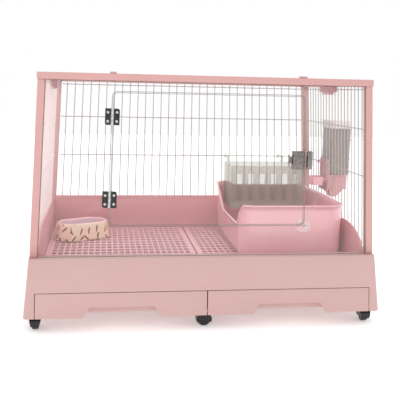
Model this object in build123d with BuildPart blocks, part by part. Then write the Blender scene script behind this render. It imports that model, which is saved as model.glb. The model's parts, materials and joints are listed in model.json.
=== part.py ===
"""A wheeled rabbit cage: moulded base with two drawers, wire walls and roof, clear hinged door.

Millimetres, +Z up, +X to the right and +Y to the back, seen from the door side.
The origin is on the ground, under the middle of the cage.
"""

from build123d import *
import os
from math import cos, radians, sin

os.makedirs("parts", exist_ok=True)

# Driving sizes ------------------------------------------------------------------------------
base_z = 33.0  # lower edge of the base, above the ground
rim_z = 158.0  # rim of the base, where the uprights begin
top_z = 550.0  # top of the frame
base_half_w = 391.0  # half width and half depth of the base at its lower edge
base_half_d = 273.4
rim_half_w = 381.0  # the same at the rim: the base is wider at the bottom
rim_half_d = 262.4
base_corner_r = 9.0
base_wall = 3.0

post_half_w = 380.0  # outer faces of the posts at the rim
post_half_d = 247.5
top_half_w = 362.0  # outer faces of the posts at the top: the uprights lean inwards
rail_h = 15.0
rail_w = 18.0
rail_proud = 2.0  # how far the rails stand out past the posts
rail_z = top_z - rail_h

post_w_front = 16.0
post_w_back = 20.0
post_d = 18.0

wire_r = 1.3
frame_wire_r = 2.0
wire_pitch = 22.88
weld = 0.4  # how deep crossing wires are melted into each other
cross_wire_z = (331.5, 438.5)
tie_wire_z = (166.0, 528.0)
wire_gap_z = 0.2  # gap between a wire's end and the rail or rim that it stands in

tub_half_w = 366.0  # inside of the tub, under the rim
tub_half_d = 226.5
ledge_z = 121.0  # top of the ledge that carries the floor grids
ledge_w = 10.0
grid_t = 4.5
floor_z = ledge_z + grid_t

drawer_top_z = 86.5
drawer_half_w = 367.2
drawer_gap = 0.9
pan_z = 42.0  # underside of the drawer pan
pan_wall = 2.5

sheet_front_y = -244.0  # the clear front sheet and the door lie in one plane
sheet_t = 3.0
sheet_back_y = sheet_front_y + sheet_t
door_left, door_right = -215.6, 218.2  # across-positions, counted at the rim
door_low, door_high = 225.5, 510.5
door_corner_r = 9.0
door_gap = 1.5
backing_t = 3.0  # thickness of the plates behind the sheet that the latch parts are screwed to

wheel_r = 15.0
running_gap = 0.06  # radial clearance of a pin or shaft in its bore

lean_rate = (1 - top_half_w / post_half_w) / (top_z - rim_z)


def lean(x, z):
    """Across-position at height z of what stands at x on the rim."""
    return x * (1 - lean_rate * (z - rim_z))


def leaning_outline(left, right, low, high):
    """The four corners of an upright panel whose sides lean with the frame."""
    return (
        (lean(left, low), low),
        (lean(right, low), low),
        (lean(right, high), high),
        (lean(left, high), high),
    )


def block(x, y, z, mode=Mode.ADD):
    """A straight block in the current part, from the low to the high value on each axis."""
    with Locations(((x[0] + x[1]) / 2, (y[0] + y[1]) / 2, (z[0] + z[1]) / 2)):
        Box(x[1] - x[0], y[1] - y[0], z[1] - z[0], mode=mode)


def both_ways(low, high, side):
    """The range low..high on the right side (+1), or its mirror image on the left (-1)."""
    return (low, high) if side > 0 else (-high, -low)


def save(name, label):
    """Labels a finished piece and writes its STEP file."""
    name.part.label = label
    export_step(name.part, f"parts/{label}.step")


def rod(start, end, radius):
    """A round wire from one point to another."""
    start, end = Vector(*start), Vector(*end)
    with BuildPart(mode=Mode.PRIVATE) as one:
        with BuildSketch(Plane(origin=start, z_dir=end - start)):
            Circle(radius)
        extrude(amount=(end - start).length)
    return one.part


# Base ---------------------------------------------------------------------------------------
def base_half(z, inset=0.0):
    """Half width and half depth of the base at height z, less an inset."""
    up = (z - base_z) / (rim_z - base_z)
    half_w = base_half_w + up * (rim_half_w - base_half_w) - inset
    half_d = base_half_d + up * (rim_half_d - base_half_d) - inset
    return half_w, half_d


def base_body(low, high, inset=0.0):
    """The solid outer form of the base between two heights, with its sloping sides."""
    with BuildPart(mode=Mode.PRIVATE) as body:
        for z in (low, high):
            half_w, half_d = base_half(z, inset)
            with BuildSketch(Plane.XY.offset(z)):
                RectangleRounded(2 * half_w, 2 * half_d, base_corner_r - inset)
        loft(ruled=True)
    return body.part


runner_z = (38.0, 41.5)
runner_w = 12.0
divider_half_t = 1.5
stem_r = 4.0
caster_spots = [(x, y) for y in (-238.0, 238.0) for x in (-368.0, 0.0, 368.0)]
stem_top_z = 41.0
socket_half = 15.0
divider_front_y = -255.0
guide_t = 2.0
grid_bar_half_w = 8.0

with BuildPart() as base:
    add(base_body(base_z, rim_z))
    add(base_body(base_z, rim_z - base_wall, base_wall), mode=Mode.SUBTRACT)
    tub_x = (-tub_half_w, tub_half_w)
    tub_y = (-tub_half_d, tub_half_d)
    block(tub_x, tub_y, (rim_z - 2 * base_wall, rim_z), Mode.SUBTRACT)
    # the tub's own wall and the ledge that the grids lie on
    outer_x = (-tub_half_w - base_wall, tub_half_w + base_wall)
    outer_y = (-tub_half_d - base_wall, tub_half_d + base_wall)
    block(outer_x, outer_y, (ledge_z - base_wall, rim_z - base_wall))
    block(tub_x, tub_y, (ledge_z, rim_z - base_wall), Mode.SUBTRACT)
    hole_x = (-tub_half_w + ledge_w, tub_half_w - ledge_w)
    hole_y = (-tub_half_d + ledge_w, tub_half_d - ledge_w)
    block(hole_x, hole_y, (ledge_z - base_wall, ledge_z), Mode.SUBTRACT)
    # drawer openings in the front wall
    front_y = (-base_half_d - 1, -rim_half_d + base_wall + 1)
    block((-drawer_half_w, drawer_half_w), front_y, (base_z, drawer_top_z), Mode.SUBTRACT)
    # divider between the drawers, with the bar under the joint of the two grids
    back_y = base_half(drawer_top_z)[1] - base_wall
    divider_y = (divider_front_y, back_y)
    block((-divider_half_t, divider_half_t), divider_y, (runner_z[0], ledge_z))
    block((-grid_bar_half_w, grid_bar_half_w), tub_y, (ledge_z - base_wall, ledge_z))
    # runners: a flange under each drawer side, with a guide wall on the outer side
    block((-runner_w, runner_w), divider_y, runner_z)
    for side in (-1, 1):
        guide_x = both_ways(drawer_half_w, drawer_half_w + guide_t, side)
        flange_x = both_ways(drawer_half_w - runner_w, drawer_half_w + guide_t, side)
        guide_y = (-rim_half_d - 4.0, back_y)
        block(guide_x, guide_y, (runner_z[0], drawer_top_z + 8.0))
        block(flange_x, (-262.0, back_y), runner_z)
    # sockets for the caster stems
    for x, y in caster_spots:
        socket_x = (x - socket_half, x + socket_half)
        socket_y = (y - socket_half, y + socket_half)
        block(socket_x, socket_y, (base_z + 0.5, runner_z[1]))
    with Locations([(x, y, base_z) for x, y in caster_spots]):
        Cylinder(
            stem_r + running_gap,
            stem_top_z - base_z + 0.3,
            align=(Align.CENTER, Align.CENTER, Align.MIN),
            mode=Mode.SUBTRACT,
        )
save(base, "base")


# Drawers ------------------------------------------------------------------------------------
notch_x = 184.0  # middle of the finger notch
notch_h = 21.5
notch_half_low, notch_half_high = 83.0, 68.5
notch_corner_r = 7.0
notch_back_y = -262.0
pan_hollow_y = -258.0
pan_back_y = 250.0

for side, label in ((-1, "drawer_left"), (1, "drawer_right")):
    with BuildPart() as drawer:
        add(base_body(base_z, drawer_top_z))
        front_x = both_ways(drawer_gap, drawer_half_w - 1.0, side)
        front_y = (-base_half_d - 1, -base_half(drawer_top_z)[1] + base_wall)
        block(front_x, front_y, (base_z, drawer_top_z - 0.8), Mode.INTERSECT)
        add(base_body(base_z - 1, drawer_top_z + 1, base_wall), mode=Mode.SUBTRACT)
        # the pan behind the front
        pan_x = both_ways(4.0, drawer_half_w - 2.2, side)
        pan_front_y = -base_half(drawer_top_z)[1] + 1.0
        pan_y = (pan_front_y, pan_back_y)
        block(pan_x, pan_y, (pan_z, drawer_top_z - 5.0))
        hollow_x = (pan_x[0] + pan_wall, pan_x[1] - pan_wall)
        hollow_y = (pan_hollow_y, pan_back_y - pan_wall)
        block(hollow_x, hollow_y, (pan_z + pan_wall, drawer_top_z), Mode.SUBTRACT)
        # finger notch in the front, as far back as the pan's own wall
        with BuildSketch(Plane.XZ.offset(-notch_back_y)) as notch:
            Polygon(
                (side * notch_x - notch_half_low, base_z - 8),
                (side * notch_x + notch_half_low, base_z - 8),
                (side * notch_x + notch_half_low, base_z),
                (side * notch_x + notch_half_high, base_z + notch_h),
                (side * notch_x - notch_half_high, base_z + notch_h),
                (side * notch_x - notch_half_low, base_z),
            )
            fillet(notch.vertices().group_by(Axis.Y)[-1], radius=notch_corner_r)
        extrude(amount=20.0, mode=Mode.SUBTRACT)
    save(drawer, label)


# Floor grids --------------------------------------------------------------------------------
grid_inner_x, grid_outer_x = 1.5, 361.6
grid_y = (-224.5, 221.6)
hole_pitch_x, hole_pitch_y = 14.55, 27.7
hole_w, hole_d = 10.8, 19.5
hole_columns, hole_rows = 23, 16
hole_middle = (180.8, -4.0)

for side, label in ((-1, "floor_grid_left"), (1, "floor_grid_right")):
    with BuildPart() as grid:
        span_x = both_ways(grid_inner_x, grid_outer_x, side)
        with BuildSketch(Plane.XY.offset(ledge_z)):
            with Locations(((span_x[0] + span_x[1]) / 2, (grid_y[0] + grid_y[1]) / 2)):
                Rectangle(span_x[1] - span_x[0], grid_y[1] - grid_y[0])
            with Locations((side * hole_middle[0], hole_middle[1])):
                with GridLocations(hole_pitch_x, hole_pitch_y, hole_columns, hole_rows):
                    Rectangle(hole_w, hole_d, mode=Mode.SUBTRACT)
        extrude(amount=grid_t)
    save(grid, label)


# Splash guards ------------------------------------------------------------------------------
guard_t = 3.0
guard_inner_x = 362.3
guard_top_z = 210.0
guard_low_z = ledge_z + 0.3
guard_lip_w = 4.0  # width of the lip turned outwards along the upper edge
guard_lip_t = 4.0
guard_y = (-222.0, 222.0)
guard_curve_y = -107.0  # where the front of the upper edge begins to sweep down


def guard_sweep(drop, angle):
    """The upper front curve of a side guard, lowered by a drop, over part of a quarter turn."""
    reach = guard_curve_y - guard_y[0] - drop
    rise = guard_top_z - rim_z - drop
    return EllipticalCenterArc((guard_curve_y, rim_z), reach, rise, 90, arc_size=angle)


for side, label in ((-1, "splash_guard_left"), (1, "splash_guard_right")):
    with BuildPart() as guard:
        plane_x = guard_inner_x if side > 0 else -guard_inner_x - guard_t
        lip_x = guard_inner_x if side > 0 else -guard_inner_x - guard_lip_w
        with BuildSketch(Plane.YZ.offset(plane_x)):
            with BuildLine():
                floor_line = Line((guard_y[0], guard_low_z), (guard_y[1], guard_low_z))
                back_line = Line(floor_line @ 1, (guard_y[1], guard_top_z))
                top_line = Line(back_line @ 1, (guard_curve_y, guard_top_z))
                sweep_down = guard_sweep(0.0, 90)
                Line(sweep_down @ 1, floor_line @ 0)
            make_face()
        extrude(amount=guard_t)
        with BuildSketch(Plane.YZ.offset(lip_x)):
            with BuildLine():
                lip_top = Line((guard_y[1], guard_top_z), (guard_curve_y, guard_top_z))
                lip_sweep = guard_sweep(0.0, 80)
                lip_drop = Line(lip_sweep @ 1, (guard_y[0] + 6.0, rim_z + 8.0))
                lip_under = guard_sweep(guard_lip_t, 78)
                Line(lip_drop @ 1, lip_under @ 1)
                under_line = Line(lip_under @ 0, (guard_y[1], guard_top_z - guard_lip_t))
                Line(under_line @ 1, lip_top @ 0)
            make_face()
        extrude(amount=guard_lip_w)
    save(guard, label)

back_guard_y, back_bead_y = (222.6, 225.8), (222.6, 234.8)
back_bead_z = (guard_top_z - 2.0, guard_top_z + 7.0)
with BuildPart() as guard_back:
    back_guard_x = (-guard_inner_x + 0.3, guard_inner_x - 0.3)
    block(back_guard_x, back_guard_y, (guard_low_z, back_bead_z[0]))
    # the bead stops short of the back posts
    bead_reach = lean(post_half_w - post_w_back, back_bead_z[1]) - 1.0
    block((-bead_reach, bead_reach), back_bead_y, back_bead_z)
    edges = guard_back.edges().filter_by(Axis.X).group_by(Axis.Z)[-1]
    fillet(edges, radius=2.0)
save(guard_back, "splash_guard_back")


# Posts and rails ----------------------------------------------------------------------------
def post(side, width, y_low, label):
    """A corner post from the rim to the rails, leaning inwards with the frame."""
    outer, inner = side * post_half_w, side * (post_half_w - width)
    with BuildPart() as upright:
        with BuildSketch(Plane.XZ.offset(-y_low - post_d)):
            Polygon(*leaning_outline(min(outer, inner), max(outer, inner), rim_z, rail_z))
        extrude(amount=post_d)
        fillet(upright.edges().filter_by(lambda e: e.length > 300), radius=1.5)
    save(upright, label)


post(-1, post_w_front, -post_half_d, "post_front_left")
post(1, post_w_front, -post_half_d, "post_front_right")
post(-1, post_w_back, post_half_d - post_d, "post_back_left")
post(1, post_w_back, post_half_d - post_d, "post_back_right")

rail_half_w = top_half_w + rail_proud
rail_half_d = post_half_d + rail_proud


def rail(x, y, label):
    """A straight rail of the top frame, with softened long edges."""
    with BuildPart() as bar:
        block(x, y, (rail_z, top_z))
        along = Axis.X if x[1] - x[0] > y[1] - y[0] else Axis.Y
        fillet(bar.edges().filter_by(along), radius=2.0)
    save(bar, label)


rail((-rail_half_w, rail_half_w), (-rail_half_d, -rail_half_d + rail_w), "rail_front")
rail((-rail_half_w, rail_half_w), (rail_half_d - rail_w, rail_half_d), "rail_back")
side_rail_y = (-rail_half_d + rail_w, rail_half_d - rail_w)
rail((-rail_half_w, -rail_half_w + rail_w), side_rail_y, "rail_left")
rail((rail_half_w - rail_w, rail_half_w), side_rail_y, "rail_right")


# Wire walls ---------------------------------------------------------------------------------
wire_low_z, wire_high_z = rim_z + wire_gap_z, rail_z - wire_gap_z
back_wire_y = 239.5
side_wire_x = 371.0
back_wire_count, side_wire_count = 31, 19
cross_offset = 2 * wire_r - weld


side_cross_half_y = 226.0


def centred(count):
    """Steps -n..n for an odd count of evenly spaced wires."""
    return range(-(count // 2), count // 2 + 1)


def upright_wire(x, y):
    """An upright wire from the rim to the rail; x is counted at the rim, and leans inwards."""
    foot = (lean(x, wire_low_z), y, wire_low_z)
    head = (lean(x, wire_high_z), y, wire_high_z)
    return rod(foot, head, wire_r)


def side_cross_wire(side, z):
    """A level wire across the inner side of a side wall's uprights."""
    x = side * (lean(side_wire_x, z) - cross_offset)
    return rod((x, -side_cross_half_y, z), (x, side_cross_half_y, z), wire_r)


with BuildPart() as wall_back:
    uprights = [upright_wire(step * wire_pitch, back_wire_y) for step in centred(back_wire_count)]
    reach = post_half_w - post_w_back - 3.0
    cross_y = back_wire_y - cross_offset
    crosses = [
        rod((-lean(reach, z), cross_y, z), (lean(reach, z), cross_y, z), wire_r)
        for z in tie_wire_z + cross_wire_z
    ]
    add(uprights + crosses)
save(wall_back, "wire_wall_back")

for side, label in ((-1, "wire_wall_left"), (1, "wire_wall_right")):
    with BuildPart() as wall_side:
        uprights = [upright_wire(side * side_wire_x, step * wire_pitch) for step in centred(side_wire_count)]
        crosses = [side_cross_wire(side, z) for z in tie_wire_z + cross_wire_z]
        add(uprights + crosses)
    save(wall_side, label)


# Roof ---------------------------------------------------------------------------------------
roof_z = 544.5
roof_half_w, roof_half_d = 341.0, 226.5
roof_pitch = lean(wire_pitch, roof_z)
roof_wire_count = 31
roof_cross_y = (-113.0, 0.0, 113.0)
saddle_steps = (-9.5, 0.5, 9.5)  # midway between two roof wires


def roof_wire_along(x, radius):
    """A roof wire from the front to the back."""
    return rod((x, -roof_half_d, roof_z), (x, roof_half_d, roof_z), radius)


def roof_wire_across(y, z, radius):
    """A roof wire from the left to the right."""
    return rod((-roof_half_w, y, z), (roof_half_w, y, z), radius)


with BuildPart() as roof:
    ring = [roof_wire_across(y, roof_z, frame_wire_r) for y in (-roof_half_d, roof_half_d)]
    ring += [roof_wire_along(x, frame_wire_r) for x in (-roof_half_w, roof_half_w)]
    long_wires = [roof_wire_along(step * roof_pitch, wire_r) for step in centred(roof_wire_count)]
    cross_wires = [roof_wire_across(y, roof_z - cross_offset, wire_r) for y in roof_cross_y]
    add(ring + long_wires + cross_wires)
    corners = [(x, y, roof_z) for x in (-roof_half_w, roof_half_w) for y in (-roof_half_d, roof_half_d)]
    with Locations(corners):
        Sphere(frame_wire_r)
save(roof, "roof_panel")

# saddles on the back rail, round the roof's rear wire
saddle_r = 4.4
saddle_reach = rail_half_d - rail_w - roof_half_d  # from the wire to the rail
saddle_w = 16.0
with BuildPart() as saddles:
    for step in saddle_steps:
        start = step * roof_pitch - saddle_w / 2
        with BuildSketch(Plane(origin=(start, roof_half_d, roof_z), x_dir=(0, 1, 0), z_dir=(1, 0, 0))):
            Circle(saddle_r)
            with Locations((saddle_reach / 2, 0)):
                Rectangle(saddle_reach, 2 * saddle_r)
            Circle(frame_wire_r + running_gap, mode=Mode.SUBTRACT)
        extrude(amount=saddle_w)
save(saddles, "roof_saddles")

# clips on the roof's front wire, lying over the front rail
clip_w = 13.5
clip_knuckle_r = 4.2
clip_top_z = top_z + 4.0
clip_reach_y = -246.0
clip_x = saddle_steps[-1] * roof_pitch
for side, label in ((-1, "roof_clip_left"), (1, "roof_clip_right")):
    with BuildPart() as clip:
        start = side * clip_x - clip_w / 2
        with BuildSketch(Plane(origin=(start, 0, 0), x_dir=(0, 1, 0), z_dir=(1, 0, 0))):
            with Locations((-roof_half_d, roof_z)):
                Circle(clip_knuckle_r)
            with BuildLine():
                Polyline(
                    (-roof_half_d - clip_knuckle_r, roof_z),
                    (-roof_half_d + clip_knuckle_r, roof_z),
                    (-roof_half_d + clip_knuckle_r, clip_top_z - 1.5),
                    (-roof_half_d + clip_knuckle_r - 2.0, clip_top_z),
                    (clip_reach_y + 2.0, clip_top_z),
                    (clip_reach_y, clip_top_z - 1.5),
                    (clip_reach_y, top_z + 0.3),
                    (-roof_half_d - clip_knuckle_r, top_z + 0.3),
                    close=True,
                )
            make_face()
            with Locations((-roof_half_d, roof_z)):
                Circle(frame_wire_r + running_gap, mode=Mode.SUBTRACT)
        extrude(amount=clip_w)
    save(clip, label)


# Locks under the side rails -----------------------------------------------------------------
lock_x = (336.5, 350.0)
lock_half_y = 50.0
lock_low_z = 521.0
lock_middle_x = (lock_x[0] + lock_x[1]) / 2
lock_slot_y = (-45.0, 45.0)
slider_y = (-30.0, 30.0)


def lock_span(half, side):
    """A width centred on a lock's middle, on the left (-1) or the right (+1)."""
    return both_ways(lock_middle_x - half, lock_middle_x + half, side)


with BuildPart() as lock_housings:
    for side in (-1, 1):
        block(both_ways(*lock_x, side), (-lock_half_y, lock_half_y), (lock_low_z, rail_z))
        block(lock_span(2.3, side), lock_slot_y, (lock_low_z, lock_low_z + 5.0), Mode.SUBTRACT)
        block(lock_span(4.8, side), lock_slot_y, (lock_low_z + 4.0, lock_low_z + 10.0), Mode.SUBTRACT)
save(lock_housings, "side_lock_housings")

for side, label in ((-1, "side_lock_slider_left"), (1, "side_lock_slider_right")):
    with BuildPart() as slider:
        grip_x = both_ways(lock_x[0] + 1.4, lock_x[1] - 1.4, side)
        block(grip_x, slider_y, (lock_low_z - 6.4, lock_low_z - 0.3))
        fillet(slider.edges().filter_by(Axis.Y).group_by(Axis.Z)[0], radius=1.5)
        # the neck through the housing's slot, and the wider head that holds it in the cavity
        block(lock_span(1.9, side), slider_y, (lock_low_z - 0.3, lock_low_z + 5.0))
        block(lock_span(4.4, side), slider_y, (lock_low_z + 4.3, lock_low_z + 9.5))
    save(slider, label)


# Clear front sheet and door -----------------------------------------------------------------
hinge_x = door_left - door_gap / 2  # the hinge line, counted at the rim
hinge_y = -247.3
hinge_tilt = -hinge_x * lean_rate
hinge_heights = (282.0, 459.0)
hinge_h = 35.0
leaf_w = 15.4
leaf_t = 2.4
knuckle_r = 2.7
pin_r = 1.3
screw_r = 1.5
screw_spread = 19.0  # height between the two screws of a leaf
leaf_screw_x = 9.4


def hinge_plane(height):
    """A plane at a hinge's middle: X across the door, Z up along the hinge line."""
    origin = (lean(hinge_x, height), hinge_y, height)
    return Plane(origin=origin, x_dir=(1, 0, -hinge_tilt), z_dir=(hinge_tilt, 0, 1))


def bore(plane, x, z, radius, y_low, y_high):
    """A round bore through the current part, along the front-to-back axis of a hinge plane."""
    centre = plane.from_local_coords(Vector(x, (y_low + y_high) / 2, z))
    with Locations(Location(centre, (90, 0, 0))):
        Cylinder(radius, y_high - y_low, mode=Mode.SUBTRACT)


def screw_row(side):
    """Local (x, z) places of a leaf's two screws, on the sheet's side (-1) or the door's (+1)."""
    return [(side * leaf_screw_x, side_z * screw_spread / 2) for side_z in (-1, 1)]


latch_z = 370.5
latch_h = 40.0
latch_x = (184.0, 210.2)
catch_x = (217.2, 229.8)
latch_front_y = -257.0
catch_front_y = -254.0
through_r = 2.0
stop_screw = (221.8, 220.0)
stop_screw_r = 2.0


def through_holes(spots, radius):
    """Bores through the front plane, at the given (x, z) places."""
    middle_y = (sheet_front_y + sheet_back_y) / 2
    with Locations([Location((x, middle_y, z), (90, 0, 0)) for x, z in spots]):
        Cylinder(radius, sheet_t + 4.0, mode=Mode.SUBTRACT)


latch_pins = [(197.0, latch_z + dz) for dz in (-14.0, 14.0)]
catch_pins = [(224.6, latch_z + dz) for dz in (-14.0, 14.0)]

with BuildPart() as front_sheet:
    with BuildSketch(Plane.XZ.offset(-sheet_back_y)) as face:
        Polygon(*leaning_outline(-post_half_w + post_w_front, post_half_w - post_w_front, rim_z, rail_z))
        opening_x = (door_left - door_gap, door_right + door_gap)
        opening_z = (door_low - door_gap, door_high + door_gap)
        Polygon(*leaning_outline(*opening_x, *opening_z), mode=Mode.SUBTRACT)
        inner = face.vertices().filter_by(lambda v: abs(v.X) < 300)
        fillet(inner, radius=door_corner_r + door_gap)
    extrude(amount=sheet_t)
    for height in hinge_heights:
        for x, z in screw_row(-1):
            bore(hinge_plane(height), x, z, screw_r + 0.1, 0.0, 9.0)
    through_holes(catch_pins, through_r + 0.1)
    through_holes([stop_screw], stop_screw_r + 0.1)
save(front_sheet, "front_sheet")

with BuildPart() as door:
    with BuildSketch(Plane.XZ.offset(-sheet_back_y)) as face:
        Polygon(*leaning_outline(door_left, door_right, door_low, door_high))
        fillet(face.vertices(), radius=door_corner_r)
    extrude(amount=sheet_t)
    for height in hinge_heights:
        for x, z in screw_row(1):
            bore(hinge_plane(height), x, z, screw_r + 0.1, 0.0, 9.0)
    through_holes(latch_pins, through_r + 0.1)
save(door, "door")

# Hinge leaves: a front plate rolled round the pin, and a plate behind the sheet
sheet_front_local = sheet_front_y - hinge_y
sheet_back_local = sheet_back_y - hinge_y
segment_h = hinge_h / 3
plate_gap = 0.4
back_plate_t = 2.0
leaf_corner_r = 5.0


def hinge_leaf(plane, side, segments):
    """One leaf. side is -1 for the sheet and +1 for the door; segments are its knuckles."""
    with BuildPart(plane, mode=Mode.PRIVATE) as leaf:
        inner, outer = knuckle_r + plate_gap, leaf_w
        span = both_ways(inner, outer, side)
        block(span, (sheet_front_local - leaf_t, sheet_front_local), (-hinge_h / 2, hinge_h / 2))
        block(span, (sheet_back_local, sheet_back_local + back_plate_t), (-hinge_h / 2, hinge_h / 2))
        fillet(leaf.edges().filter_by(Axis.Y).group_by(Axis.X)[0 if side < 0 else -1], radius=leaf_corner_r)
        for low, high in segments:
            web_x = both_ways(0.0, inner + 0.5, side)
            block(web_x, (sheet_front_local - leaf_t, sheet_front_local - 0.5), (low, high))
            with Locations((0, 0, (low + high) / 2)):
                Cylinder(knuckle_r, high - low)
                Cylinder(pin_r + running_gap, high - low, mode=Mode.SUBTRACT)
        for x, z in screw_row(side):
            with Locations(Location((x, sheet_front_local, z), (90, 0, 0))):
                Cylinder(screw_r + 0.05, 20.0, mode=Mode.SUBTRACT)
    return leaf.part


outer_segments = [(-hinge_h / 2, -segment_h / 2 - 0.15), (segment_h / 2 + 0.15, hinge_h / 2)]
middle_segment = [(-segment_h / 2 + 0.15, segment_h / 2 - 0.15)]

with BuildPart() as fixed_leaves:
    for height in hinge_heights:
        add(hinge_leaf(hinge_plane(height), -1, outer_segments))
save(fixed_leaves, "hinge_leaves_fixed")

with BuildPart() as door_leaves:
    for height in hinge_heights:
        add(hinge_leaf(hinge_plane(height), 1, middle_segment))
save(door_leaves, "hinge_leaves_door")


def hinge_pin(plane):
    """A plain pin with a low head above the top knuckle."""
    with BuildPart(plane, mode=Mode.PRIVATE) as pin:
        Cylinder(pin_r, hinge_h)
        with Locations((0, 0, hinge_h / 2)):
            Cylinder(pin_r + 0.9, 0.9, align=(Align.CENTER, Align.CENTER, Align.MIN))
    return pin.part


with BuildPart() as pins:
    for height in hinge_heights:
        add(hinge_pin(hinge_plane(height)))
save(pins, "hinge_pins")


def cross_screw(plane, x, z, front, back, radius):
    """A screw along the front-to-back axis, with a domed head at the front and a nut behind."""
    with BuildPart(plane, mode=Mode.PRIVATE) as screw:
        with Locations(Location((x, (front + back) / 2, z), (90, 0, 0))):
            Cylinder(radius, back - front)
        with Locations(Location((x, front - 0.7, z), (90, 0, 0))):
            Cylinder(radius * 1.9, 1.4)
        fillet(screw.edges().filter_by(GeomType.CIRCLE).sort_by(Axis.Y)[0], radius=0.6)
        with Locations(Location((x, back + 0.8, z), (90, 0, 0))):
            Cylinder(radius * 1.7, 1.6)
    return screw.part


for side, label in ((-1, "hinge_screws_fixed"), (1, "hinge_screws_door")):
    with BuildPart() as screws:
        for height in hinge_heights:
            for x, z in screw_row(side):
                front = sheet_front_local - leaf_t
                back = sheet_back_local + back_plate_t
                add(cross_screw(hinge_plane(height), x, z, front, back, screw_r))
    save(screws, label)


# Latch --------------------------------------------------------------------------------------
bolt_y = (-252.4, -248.4)
bolt_half_h = 7.0
bolt_x = (175.5, 213.6)
bolt_travel = 7.0
bolt_fit = 0.35
bolt_z = (latch_z - bolt_half_h, latch_z + bolt_half_h)
body_z = (latch_z - latch_h / 2, latch_z + latch_h / 2)
backing_y = (sheet_back_y, sheet_back_y + backing_t)
backing_z = (latch_z - 18.0, latch_z + 18.0)

with BuildPart() as latch_body:
    block(latch_x, (latch_front_y, sheet_front_y), body_z)
    fillet(latch_body.edges().filter_by(Axis.Z).group_by(Axis.Y)[0], radius=5.0)
    fillet(latch_body.edges().filter_by(Axis.Y), radius=2.0)
    tunnel_y = (bolt_y[0] - bolt_fit, bolt_y[1] + bolt_fit)
    tunnel_z = (latch_z - bolt_half_h - bolt_fit, latch_z + bolt_half_h + bolt_fit)
    block((latch_x[0] - 1, latch_x[1] + 1), tunnel_y, tunnel_z, Mode.SUBTRACT)
    block((189.0, 205.0), backing_y, backing_z)
    with Locations([Location((x, sheet_front_y + sheet_t / 2, z), (90, 0, 0)) for x, z in latch_pins]):
        Cylinder(through_r, sheet_t)
save(latch_body, "latch_body")

with BuildPart() as latch_bolt:
    # a thin thumb plate on a bolt that slides through the body
    thumb_x = (latch_x[0] - bolt_travel - 1.5, latch_x[0] - bolt_travel - 0.3)
    block(thumb_x, (-254.5, -246.5), (latch_z - 12.0, latch_z + 12.0))
    block(bolt_x, bolt_y, bolt_z)
save(latch_bolt, "latch_bolt")

with BuildPart() as latch_catch:
    block(catch_x, (catch_front_y, sheet_front_y), body_z)
    fillet(latch_catch.edges().filter_by(Axis.Z).group_by(Axis.Y)[0], radius=3.0)
    fillet(latch_catch.edges().filter_by(Axis.Y), radius=2.0)
    pocket_z = (latch_z - bolt_half_h - 0.6, latch_z + bolt_half_h + 0.6)
    block((catch_x[0] - 1, catch_x[0] + 8.0), (bolt_y[0] - 0.6, bolt_y[1] + 0.6), pocket_z, Mode.SUBTRACT)
    block((219.0, 229.0), backing_y, backing_z)
    with Locations([Location((x, sheet_front_y + sheet_t / 2, z), (90, 0, 0)) for x, z in catch_pins]):
        Cylinder(through_r, sheet_t)
save(latch_catch, "latch_catch")


# Door stop: a clear plate that turns on a screw behind the sheet ------------------------------
stop_t = 3.0
stop_front_y = sheet_back_y + 0.3
stop_middle = (217.8, 223.5)
with BuildPart() as door_stop:
    with BuildSketch(Plane.XZ.offset(-stop_front_y - stop_t)) as plate:
        with Locations(stop_middle):
            RectangleRounded(32.0, 31.0, 12.0)
        with Locations(stop_screw):
            Circle(stop_screw_r + running_gap, mode=Mode.SUBTRACT)
    extrude(amount=stop_t)
save(door_stop, "door_stop")

with BuildPart() as stop_screw_part:
    front_y, back_y = sheet_front_y, stop_front_y + stop_t + 0.2
    with Locations(Location((stop_screw[0], (front_y + back_y) / 2, stop_screw[1]), (90, 0, 0))):
        Cylinder(stop_screw_r, back_y - front_y)
    with Locations(Location((stop_screw[0], front_y - 0.6, stop_screw[1]), (90, 0, 0))):
        Cylinder(3.2, 1.2)
    with Locations(Location((stop_screw[0], back_y + 1.0, stop_screw[1]), (90, 0, 0))):
        Cylinder(3.6, 2.0)
save(stop_screw_part, "door_stop_screw")


# Casters ------------------------------------------------------------------------------------
hood_r = 17.2
hood_low_half, hood_high_half = 9.0, 14.0
wheel_half_w = 6.5
axle_r = 1.8
trail = 3.0
hood_top_z = 32.6
caster_turn = (0.0, 90.0, 0.0, 0.0, 90.0, 0.0)
caster_names = ("front_left", "front_middle", "front_right", "back_left", "back_middle", "back_right")


def caster_plane(spot, turn):
    """Ground plane of a caster under its stem: X along the axle, Y along the way it rolls."""
    across = (cos(radians(turn)), sin(radians(turn)), 0)
    return Plane(origin=(spot[0], spot[1], 0), x_dir=across, z_dir=(0, 0, 1))


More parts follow.
